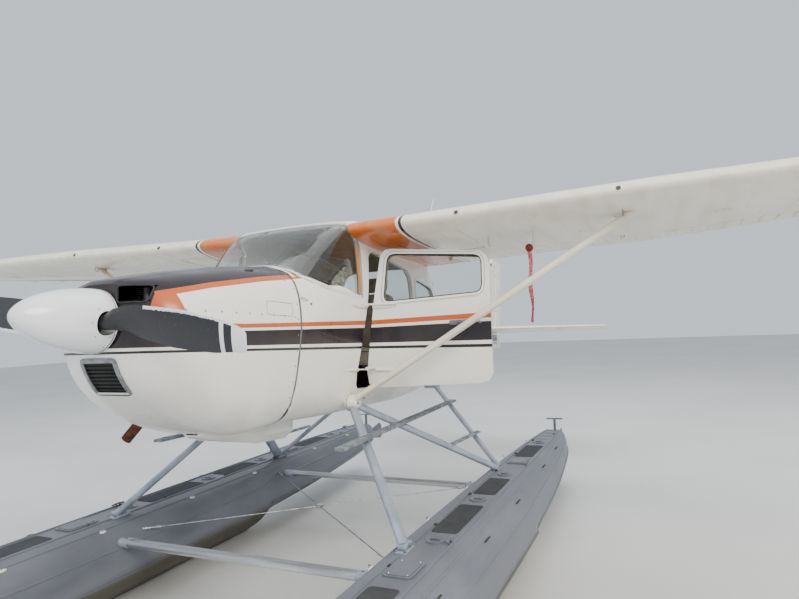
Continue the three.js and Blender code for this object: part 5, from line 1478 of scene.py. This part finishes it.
def makeSpreader(name, y):
    line = np.array([levelPoint(x, y, 0.49) for x in (-1.06, -1.05, -1.0, 0, 1.0, 1.05, 1.06)])
    parts = Parts().add(0, sweep(line, streamline(0.052, 0.118), (0, 1, 0), [0.9, 1, 1, 1, 1, 1, 0.9]))
    for side in (1, -1):
        a, b = levelPoint(side * 0.905, y, 0.49), levelPoint(side * 1.045, y, 0.49)
        parts.add(1, sweep([a, a + [side * 0.006, 0, 0], b], streamline(0.06, 0.13), (0, 1, 0), [0.93, 1, 1]))
        for x in (0.94, 1.0):
            parts.add(2, *bolt(levelPoint(side * x, y - 0.02, 0.52), (0, 0, 1), 0.007))
    build("spreader_" + name + "_fine", parts, "bright strut steel", inRow, replaces="spreader_" + name)


makeSpreader("front", -0.026)
makeSpreader("rear", 2.002)


def makeWires():
    # two crossed stays with turnbuckles, joined by a disc
    parts = Parts()
    parts.add(1, lathe([(0, -0.012), (0.024, -0.012), (0.027, -0.009), (0.027, 0.009), (0.024, 0.012),
                        (0, 0.012)], levelPoint(0, 1.0, 0.52), (0, 0, 1), 24))
    for side in (1, -1):
        a, b = levelPoint(side * 1.04, 0.11, 0.52), levelPoint(-side * 1.04, 1.89, 0.52)
        along = unit(b - a)
        parts.add(0, tube([a, b], 0.0042, 8))
        for end, way in ((a, along), (b, -along)):
            parts.add(1, lathe([(0.003, 0.05), (0.0085, 0.055), (0.0085, 0.085), (0.0055, 0.095),
                                (0.0055, 0.145), (0.0085, 0.155), (0.0085, 0.185), (0.003, 0.19)],
                               end, way, 10),
                      lathe([(0.004, -0.006), (0.01, -0.002), (0.01, 0.022), (0.004, 0.03)], end, way, 10))
    build("brace_wires_fine", parts, "steel bright", inRow, replaces="brace_wires")


makeWires()
print("float gear made")

# Floats: deck ribs, treads, covers, rails, hooks, bumpers, rivets

floatFittings = {"ribPitch": 0.19, "treads": [(-1.02, -0.42), (0.42, 1.02), (1.3, 1.78), (2.6, 3.15)],
                 "hatches": [(-0.3, -0.06), (2.3, 2.52)], "covers": (-1.25, 0.28, 1.16, 1.92, 3.32),
                 "pumps": (-1.42, -0.8, -0.16, 0.55, 1.28, 2.02, 2.72, 3.42)}


def deckOf(side):
    def deck(y, x):
        # on the deck's flat top by level station and distance from the float's middle
        y, x = matched(y, x)
        p = np.stack([side * hull["x"] + x, y, onHull(y, 0, side)[0][..., 2]], -1)
        return p, p * 0 + [0, 0, 1]
    return deck


def halfDeck(y, side):
    return abs(onHull(y, 0, side)[0][0] - side * hull["x"])


def makeDeckRibs(word, side):
    f, deck, ribs = floatFittings, deckOf(side), []
    covered = list(f["treads"]) + list(f["hatches"]) + [(c - 0.08, c + 0.08) for c in f["covers"]]
    covered += [(gear["front"] - 0.11, gear["front"] + 0.11), (gear["rear"] - 0.11, gear["rear"] + 0.11)]
    for y in np.arange(-1.62, 4.1, f["ribPitch"]):
        if any(a - 0.02 < y < b + 0.02 for a, b in covered):
            continue
        half = halfDeck(y, side) - 0.022
        p, n = deck(y, np.linspace(-half, half, 7))
        size = np.array([(0.004, 0.001), (0.011, 0.005), (0.012, 0.006), (0.012, 0.006)])
        ribs.append(sweep(p, circle(1, 10), n, np.concatenate([size, size[2::-1]])))
    build("float_deck_ribs_" + word, ribs, "hull", levelToRow)


def makeDeckFittings(word, side):
    # treads, hatch lids with their knobs, inspection covers with their handles, pump caps
    f, deck, parts = floatFittings, deckOf(side), Parts()

    def plate(y0, y1, half, lift):
        return patch(deck, roundedOutline([(y0, -half), (y1, -half), (y1, half), (y0, half)], 0.03), lift)

    for y0, y1 in f["treads"]:
        parts.add(0, plate(y0, y1, 0.088, 0.0022))
    for y0, y1 in f["hatches"]:
        parts.add(1, plate(y0, y1, 0.086, 0.009), plate(y0 + 0.015, y1 - 0.015, 0.07, 0.013))
        spots = deck([y0 + 0.03, y0 + 0.03, y1 - 0.03, y1 - 0.03], [-0.055, 0.055, -0.055, 0.055])
        parts.add(2, domes(spots[0] + [0, 0, 0.012], spots[1], 0.009, 0.006, 10))
    for y in f["covers"]:
        at, _ = deck(y, 0.0)
        parts.add(1, lathe([(0, 0), (0.062, 0), (0.062, 0.006), (0.056, 0.009), (0.05, 0.006), (0, 0.006)],
                           at, (0, 0, 1), 32))
        parts.add(2, bar(at + [-0.03, 0, 0.01], at + [0.03, 0, 0.01], 0.012, 0.009))
    for y in f["pumps"]:
        half = min(halfDeck(y, side) - 0.018, 0.098)
        at, _ = deck(y, half * (1 if side < 0 else -1))
        parts.add(3, lathe([(0, 0), (0.013, 0), (0.013, 0.006), (0.008, 0.012), (0, 0.014)],
                           at, (0, 0, 1), 14))
    build("float_deck_fittings_" + word, parts, "tread hull steel rubber", levelToRow)


def makeFloatRails(word, side):
    # along the gunwales, chines and keel
    strips = Parts()
    for flip in (1, -1):
        for t, y0, y1, size in ((0.0, -1.8, 4.18, (0.01, 0.009)), (1.35, -1.8, 4.18, (0.009, 0.006)),
                                (3.6, -1.72, 4.1, (0.01, 0.005)), (6.0, -1.72, 1.645, (0.009, 0.007)),
                                (6.0, 1.66, 4.18, (0.009, 0.007))):
            y = np.arange(y0, y1, 0.05)
            p, n = onHull(y, t, side, flip)
            strips.add(0, sweep(p, circle(1, 8), n, np.broadcast_to(size, (len(y), 2))))
    for y0, y1 in ((-1.7, 1.645), (1.66, 4.15)):
        y = np.arange(y0, y1, 0.05)
        p = onHull(y, 8.5, side)[0] + [0, 0, 0.0045]
        strips.add(1, sweep(p, slabProfile(0.03, 0.012, 0.003, 2), (0, 0, 1)))
    build("float_rails_" + word, strips, "hull steel", levelToRow)


def makeFloatHooks(word, side):
    # bow bumper, mooring hooks and eyes, cleats
    t = np.linspace(17.2, 23.0, 20) % 18
    nose = onHull(-1.835, t, side)[0] + [0, -0.012, 0]
    middle = nose.mean(0)
    nose = middle + (nose - middle) * [0.8, 1, 0.9]
    parts = Parts().add(0, ball(middle + [0, 0.006, 0.0], (0.05, 0.03, 0.052), 24, 13))
    outer = 1 if side > 0 else -1
    for y in (-1.05, -0.35, 0.52, 1.35, 2.45, 3.25):
        p, n = onHull(y, 2.1, side, outer)
        parts.add(0, tube([p + [0, -0.034, 0], p + n * 0.02 + [0, -0.03, 0], p + n * 0.026,
                           p + n * 0.02 + [0, 0.03, 0], p + [0, 0.034, 0]], 0.0055, 8, (0, 0, 1)))
        p, n = onHull(y + 0.2, 1.6, side, -outer)
        parts.add(2, ball(p, (0.016, 0.026, 0.013), 14, 9))
        parts.add(1, tube([p + n * 0.006 + [0, -0.016, 0], p + n * 0.026, p + n * 0.006 + [0, 0.016, 0]],
                          0.004, 8, (0, 0, 1)))
    for y in (-1.5, 0.26, 2.28, 3.8):
        half = min(halfDeck(y, side) - 0.01, 0.1)
        at, _ = deckOf(side)(y, half * outer)
        parts.add(1, tube([at + [0, -0.055, 0.022], at + [0, 0, 0.026], at + [0, 0.055, 0.022]], 0.0065, 10),
                  tube([at + [0, -0.018, 0], at + [0, -0.014, 0.026]], 0.0065, 8),
                  tube([at + [0, 0.018, 0], at + [0, 0.014, 0.026]], 0.0065, 8))
    build("float_hooks_" + word, parts, "rubber steel white", levelToRow)


def makeFloatRivets(word, side):
    marks = []
    for flip in (1, -1):
        for t, pitch in ((0.75, 0.05), (5.75, 0.05), (2.6, 0.07)):
            marks.append(domes(*onHull(np.arange(-1.74, 4.16, pitch), t, side, flip)))
        for y in np.arange(-1.4, 4.1, 0.55):
            for t in (np.linspace(0.9, 5.7, 9), np.linspace(6.15, 7.9, 6)):
                marks.append(domes(*onHull(y, t, side, flip)))
    build("float_rivets_" + word, marks, "hull", levelToRow)


for word, side in sides.items():
    for make in (makeDeckRibs, makeDeckFittings, makeFloatRails, makeFloatHooks, makeFloatRivets):
        make(word, side)
print("float fittings made")

# Tail: beads, rivets, beacon and light; aerials and wicks

def makeTailBeads():
    # across the chord of rudder and elevator, both sides
    parts = []
    for sign in (1, -1):
        place = castOn("rudder", 0, sign)
        for z in np.arange(0.12, 1.36, 0.105):
            hinge = 6.312 + 0.143 * (z - 0.022)
            tail = 6.668 + 0.16 * (z - 0.022) / 1.418
            parts.append(bead(place, (hinge + 0.05, z), (tail - 0.03, z), high=0.0036))
    build("rudder_beads", parts, "white", body="rudder")
    parts = []
    for sign in (1, -1):
        place = castOn("elevator", 2, sign)
        parts += [bead(place, (end * x, 6.235), (end * x, 6.6 - 0.1 * x), 0.01)
                  for x in np.arange(0.26, 1.66, 0.1) for end in (1, -1)]
    build("elevator_beads", parts, "white", body="elevator")


def makeTailRivets():
    parts = []
    for sign in (1, -1):
        for word, end in sides.items():
            place = castOn("stabilizer_" + word, 2, sign)
            rows = [[(end * 0.14, 5.52), (end * 1.62, 5.82)], [(end * 0.14, 6.1), (end * 1.66, 6.12)]]
            rows += [[(end * x, 5.45 + 0.2 * x), (end * x, 6.12)] for x in (0.45, 0.85, 1.25, 1.6)]
            parts.append(rivets(place, rows, 0.05, 0.0028, 0.0009))
        place = castOn("fin", 0, sign)
        rows = [[(6.1, 0.36), (6.34, 1.26)], [(5.62, 0.5), (6.05, 1.2)], [(5.5, 0.42), (6.1, 0.42)],
                [(5.72, 0.72), (6.22, 0.72)], [(5.95, 1.02), (6.28, 1.02)]]
        parts.append(rivets(place, rows, 0.05, 0.0028, 0.0009))
    build("tail_rivets", parts, "white")


def makeTailLights():
    # beacon on the fin, white light behind the rudder
    (top,), _ = castOn("fin", 2, 1)(0.0, 6.22)
    parts = Parts().add(1, lathe([(0, -0.004), (0.03, -0.004), (0.03, 0.008), (0, 0.008)], top, (0, 0, 1)))
    parts.add(0, lathe([(0, 0.006), (0.026, 0.006), (0.026, 0.03), (0.018, 0.044), (0, 0.05)],
                       top, (0, 0, 1), 24))
    build("fin_beacon", parts, "redLens steel")
    (end,), _ = castOn("rudder", 1, 1)(0.0, 0.3)
    parts = Parts().add(0, ball(end + [0, 0.004, 0], (0.016, 0.022, 0.018), 16, 9))
    parts.add(1, tube([end + [0, -0.03, 0], end + [0, 0.004, 0]], 0.017, 14))
    build("tail_light", parts, "glass white", body="rudder")


def makeAerials():
    # aerials on the roof, blades and drains on the belly, static wicks on the elevator
    parts = Parts()
    for y, x in ((1.34, 0.0), (2.05, 0.18), (3.3, 0.0)):
        p, _ = onTop(y, x)
        parts.add(1, tube([p, p + [0, 0.015, 0.05], p + [0, 0.05, 0.085]], 0.0035, 8))
        parts.add(0, lathe([(0, 0), (0.02, 0), (0.014, 0.008), (0, 0.01)], p, (0, 0, 1), 16))
    for y in (0.42, 1.5, 3.4):
        p, _ = onTop(y, 0.1, "belly")
        parts.add(0, strut(p + [0, 0, 0.004], p + [0, 0.03, -0.075], 0.01, 0.055))
    parts.add(1, domes(*onTop([0.9, 1.7, 2.2, 2.9], [-0.1, 0.14, -0.16, 0.1], "belly"), 0.012, 0.006, 10))
    build("airframe_aerials", parts, "white steel")
    ends, _ = castOn("elevator", 1, 1)([0.9, -0.9, 1.45, -1.45], 0.272)
    wicks = [tube([at, at + [0, 0.05, 0], at + [0, 0.12, -0.004]], 0.0018, 6) for at in ends]
    build("elevator_wicks", wicks, "rubber", body="elevator")


for make in (makeTailBeads, makeTailRivets, makeTailLights, makeAerials):
    make()
print("tail fittings made")

# Cabin: padded seats, bench, belts, panel, pedals

seatShape = {"x": 0.24, "cushion": (0.368, 0.47, 0.125), "at": (1.29, -0.172), "back": (0.368, 0.5, 0.085),
             "backLow": (1.5, -0.115), "backHigh": (1.606, 0.385), "head": (0.24, 0.115, 0.06),
             "pleats": 5, "floor": -0.49}


def cushion(size, pleats, crown=0.22):
    # a stuffed pad: a rounded outline shrunk in rings; the top swells as (1-x2)(1-y2), stitched pleats dip it
    w, l, h = size
    outline = slabProfile(w, l, min(w, l) * 0.16, 10)
    rim = np.linspace(0, 1, 26)[1:]
    sideRings = np.array([(0.985, 0.4), (1.0, 0.25), (0.988, 0.05), (1.004, -0.15), (0.992, -0.36),
                          (0.955, -0.48)])
    shares = np.concatenate([rim * 0.955, sideRings[:, 0], (1 - rim[::5]) * 0.95 + 0.001])
    flat = shares[:, None, None] * outline
    u, v = flat[..., 0] / (w / 2), flat[..., 1] / (l / 2)
    swell = crown * np.clip(1 - u ** 2, 0, 1) * np.clip(1 - v ** 2, 0, 1)
    dips = sum(np.exp(-((u - place) / 0.035) ** 2) for place in np.linspace(-0.72, 0.72, pleats))
    height = np.zeros_like(u)
    n = len(rim)
    edge = 0.5 - 0.1 * (rim ** 6)
    height[:n] = (edge[:, None] + swell[:n] - 0.07 * dips[:n] * (np.abs(v)[:n] < 0.84)) * h
    height[n:n + 6] = sideRings[:, 1][:, None] * h
    height[n + 6:] = -0.5 * h
    m = outline.shape[0]
    rings = np.stack([flat[..., 0], flat[..., 1], height], -1).reshape(-1, 3)
    verts = np.concatenate([[[0, 0, (0.5 + crown) * h]], rings])
    last = 1 + (len(shares) - 1) * m + np.arange(m)
    faces = fanFaces(m) + (gridFaces(len(shares), m, True) + 1).tolist() + [last[::-1].tolist()]
    piping = tube(np.concatenate([outline * 1.002, np.full((m, 1), h * 0.36)], 1), 0.0045, 7, (0, 0, 1),
                  ring=True)
    return Parts().add(0, (verts, faces)).add(1, piping)


def posed(parts, at, xAxis, yAxis):
    x, y = unit(xAxis), unit(yAxis)
    turn = np.stack([x, y, np.cross(x, y)])
    return [(np.asarray(p[0]) @ turn + np.asarray(at), *p[1:]) for p in parts]


def makePad(name, parts, replaces=None):
    piece = build(name, parts, "cloth vinyl", smooth=60, replaces=replaces)


def makeSeat(word, side):
    s = seatShape
    x = side * s["x"]
    low, high = np.array([x, *s["backLow"]]), np.array([x, *s["backHigh"]])
    rise = high - low
    seat, back = cushion(s["cushion"], s["pleats"]), cushion(s["back"], s["pleats"])
    makePad("seat_cushion_" + word, posed(seat, (x, *s["at"]), (1, 0, 0), (0, 1, 0)), "seat_" + word)
    makePad("seat_back_" + word, posed(back, (low + high) / 2 + [0, 0.012, 0.0], (-1, 0, 0), rise))
    head = posed(cushion(s["head"], 1, 0.3), high + unit(rise) * 0.085, (-1, 0, 0), rise)
    makePad("seat_headrest_" + word, head)
    parts = Parts()
    for d in (-0.15, 0.07):
        parts.add(0, bar((x + d, 1.02, s["floor"] + 0.01), (x + d, 1.6, s["floor"] + 0.01), 0.024, 0.02))
        for y in (1.1, 1.48):
            parts.add(0, tube([(x + d, y, s["floor"] + 0.015), (x + d, y - 0.02, -0.24)], 0.011, 10))
        parts.add(0, tube([(x + d, 1.07, -0.238), (x + d, 1.51, -0.238), (x + d, 1.545, -0.1),
                           (x + d, 1.63, 0.3)], 0.01, 10))
    for y in (1.1, 1.48):
        parts.add(0, tube([(x - 0.165, y, -0.238), (x + 0.165, y, -0.238)], 0.01, 10))
    for dx in (-0.045, 0.045):
        parts.add(0, tube([high + [dx, 0.006, -0.03], high + unit(rise) * 0.06 + [dx, 0.0, 0]], 0.006, 8))
    build("seat_frame_" + word, parts, "darkSteel")


def makeSeatBelt(word, side):
    # a lap belt lying over the cushion: two straps and a buckle
    x, parts = side * seatShape["x"], Parts()
    for end in (1, -1):
        strap = [(x + end * 0.187, 1.47, -0.2), (x + end * 0.183, 1.44, -0.115),
                 (x + end * 0.13, 1.4, -0.084), (x + end * 0.06, 1.36, -0.081),
                 (x + end * 0.02, 1.345, -0.08)]
        parts.add(0, sweep(strap, slabProfile(0.046, 0.003, 0.001, 1),
                           [(0.7 * end, 0, 0.7), (0.7 * end, 0, 0.7), (0, 0, 1), (0, 0, 1), (0, 0, 1)]))
    parts.add(1, bar((x - 0.028, 1.347, -0.076), (x + 0.028, 1.343, -0.076), 0.052, 0.014))
    build("seat_belt_" + word, parts, "belt steel")


for word, side in sides.items():
    makeSeat(word, side)
    makeSeatBelt(word, side)


def makeBench():
    seat, back = cushion((0.88, 0.42, 0.13), 9), cushion((0.84, 0.46, 0.09), 9)
    makePad("bench_cushion", posed(seat, (0, 2.23, -0.188), (1, 0, 0), (0, 1, 0)), "rear_bench")
    makePad("bench_back", posed(back, (0, 2.482, 0.105), (-1, 0, 0), (0, 0.085, 0.46)))
    build("bench_base", [bar((-0.23, 2.15, -0.372), (0.23, 2.15, -0.372), 0.18, 0.236, corner=0.02),
                         bar((-0.42, 2.15, -0.262), (0.42, 2.15, -0.262), 0.34, 0.016)], "carpet")


makeBench()

panelFittings = {
    "face": 0.481, "gauge": 0.037,
    "large": [(0.36, 0.245), (0.275, 0.245), (0.19, 0.245), (0.36, 0.16), (0.275, 0.16), (0.19, 0.16)],
    "small": [(-0.18, 0.26), (-0.245, 0.26), (-0.31, 0.26), (-0.18, 0.2), (-0.245, 0.2), (-0.31, 0.2),
              (0.425, 0.205), (0.11, 0.262)],
    "radios": [(0.015, 0.235), (0.015, 0.185), (0.015, 0.125), (0.015, 0.075)],
    "knobs": [(0.34, -0.02), (0.28, -0.02), (0.06, -0.02), (0.0, -0.02), (-0.06, -0.02), (-0.15, -0.02),
              (-0.3, -0.02)],
}


def makePanel():
    c = panelFittings
    y, parts = c["face"], Parts()
    for group, r in ((c["large"], c["gauge"]), (c["small"], c["gauge"] * 0.62)):
        for k, (x, z) in enumerate(group):
            at = np.array([x, y, z])
            parts.add(1, lathe([(0, 0.002), (r * 0.86, 0.002), (r * 0.86, 0.003), (0, 0.0032)], at, (0, 1, 0),
                               24))
            parts.add(0, lathe([(r * 0.86, 0), (r * 1.06, 0), (r * 1.06, 0.004), (r * 0.96, 0.008),
                                (r * 0.86, 0.006), (r * 0.86, 0)], at, (0, 1, 0), 24))
            a = 0.6 + k * 1.1
            tip = at + [r * 0.6 * math.cos(a), 0.0045, r * 0.6 * math.sin(a)]
            parts.add(2, bar(at + [0, 0.0045, 0], tip, 0.003, 0.001, (0, 1, 0)))
            b = turns(12)
            spots = at + np.stack([np.cos(b) * r * 0.74, b * 0 + 0.0034, np.sin(b) * r * 0.74], -1)
            parts.add(2, domes(spots, np.tile([0, 1, 0], (12, 1)), r * 0.05, 0.0006, 4))
    for x, z in c["radios"]:
        parts.add(0, bar((x - 0.08, y + 0.006, z), (x + 0.08, y + 0.006, z), 0.014, 0.04))
        parts.add(1, bar((x - 0.04, y + 0.0135, z), (x + 0.04, y + 0.0135, z), 0.003, 0.02))
        for dx in (-0.065, 0.065):
            parts.add(3, lathe([(0, 0), (0.008, 0), (0.007, 0.014), (0, 0.015)], (x + dx, y + 0.012, z),
                               (0, 1, 0), 14))
    for k, (x, z) in enumerate(c["knobs"]):
        parts.add(4, tube([(x, y, z), (x, y + 0.035, z)], 0.004, 8))
        knob = lathe([(0, 0), (0.013, 0.001), (0.014, 0.01), (0.01, 0.017), (0, 0.018)], (x, y + 0.033, z),
                     (0, 1, 0), 16)
        parts.add(5 if k == 4 else 3, knob)
    for x in (-0.4, 0.42):
        for z in (-0.035, 0.3):
            parts.add(4, *bolt((x, y, z), (0, 1, 0), 0.004))
    build("panel_instruments", parts, "panel gauge mark rubber steel red")


def makePedals():
    parts = Parts()
    for x in (0.3, 0.16, -0.16, -0.3):
        parts.add(0, bar((x - 0.035, 0.395, -0.33), (x + 0.035, 0.395, -0.33), 0.014, 0.075, (0, -0.5, 1)))
        parts.add(1, tube([(x, 0.4, -0.33), (x, 0.37, -0.46)], 0.008, 8))
    parts.add(1, tube([(0.34, 0.37, -0.455), (-0.34, 0.37, -0.455)], 0.01, 10))
    build("rudder_pedals", parts, "rubber darkSteel")


makePanel()
makePedals()
print("cabin fitted")

# The CAD nodes that keep their own shape

kept = {
    "firewall": "firewall", "cast": "engine_block", "rust": "exhaust_stack", "filter": "air_filter",
    "lining": "rear_bulkhead", "panel": "instrument_panel yoke_left yoke_right",
    "white": "fin rudder elevator stabilizer_left stabilizer_right pitot_tube",
    "step": "boarding_step_left boarding_step_right", "hull": "water_rudder_left water_rudder_right",
    "steel": "water_rudder_post_left water_rudder_post_right",
}
for key, names in kept.items():
    for node in names.split():
        nodes[node].data.materials.clear()
        nodes[node].data.materials.append(finishes[key])
print("frame nodes finished")

# Studio: pale floor, soft light, and the photograph's viewpoint

view = {"at": (2.692, -3.24, -0.242), "yaw": math.radians(24.35), "pitch": math.radians(6.099),
        "roll": math.radians(-0.788), "sensor": 36, "lens": 618.528 / 799}       # lens in sensor widths
studio = {
    "floor": ("#cfd0cf", "#c8c9c8"), "half": 40, "below": 0.002, "sky": "#dfe6ee", "skyStrength": 1.05,
    "lights": {                # place, target, size, watts, colour
        "key_light": ((10, -9, 10), (0, -1.5, 1.8), 9, 2400, "#fff6e8"),
        "fill_light": ((-10, -7, 6), (0, -1, 1.6), 9, 800, "#e8f0ff"),
        "top_light": ((1, 3, 12), (0, 0, 1), 12, 1000, "#ffffff")},
}


def makeStudio():
    s = studio
    floor = bpy.data.meshes.new("studio_floor")
    corners = [(x * s["half"], y * s["half"], -s["below"]) for x, y in ((-1, -1), (1, -1), (1, 1), (-1, 1))]
    floor.from_pydata(corners, [], [(0, 1, 2, 3)])
    piece = addObject("studio_floor", floor)
    floor.materials.append(makeFinish("pale_floor", *s["floor"], (0.7, 0.8), 0.0, 2.0, 0.05, 0.02))
    world = bpy.data.worlds.new("soft_sky")
    bpy.context.scene.world = world
    world.use_nodes = True
    sky = world.node_tree.nodes["Background"]
    sky.inputs["Color"].default_value = linear(s["sky"])
    sky.inputs["Strength"].default_value = s["skyStrength"]


def makeLamps():
    for name, (at, target, size, power, shade) in studio["lights"].items():
        light = bpy.data.lights.new(name, "AREA")
        light.shape, light.size, light.energy = "DISK", size, power
        light.color = linear(shade)[:3]
        lamp = addObject(name, light)
        lamp.visible_glossy = name == "key_light"  # the two others leave no disc in the glass
        back = unit(np.array(at) - np.array(target))
        right = unit(np.cross([0, 0, 1], back))
        lamp.matrix_world = Matrix(np.vstack([np.column_stack([right, np.cross(back, right), back, at]),
                                              [0, 0, 0, 1]]).tolist())


def makeCamera():
    v = view
    ahead = np.array([-math.sin(v["yaw"]) * math.cos(v["pitch"]), math.cos(v["yaw"]) * math.cos(v["pitch"]),
                      math.sin(v["pitch"])])
    right = unit(np.cross(ahead, [0, 0, 1]))
    above = np.cross(right, ahead)
    c, k = math.cos(v["roll"]), math.sin(v["roll"])
    tilted = np.column_stack([right * c + above * k, above * c - right * k, -ahead, v["at"]])
    camera = addObject("photo_view", bpy.data.cameras.new("photo_view"))
    camera.data.lens, camera.data.sensor_width = v["lens"] * v["sensor"], v["sensor"]
    camera.data.clip_end = 200
    camera.matrix_world = airToRow @ Matrix(np.vstack([tilted, [0, 0, 0, 1]]).tolist())
    bpy.context.scene.camera = camera


makeStudio()
makeLamps()
makeCamera()
print("studio made")
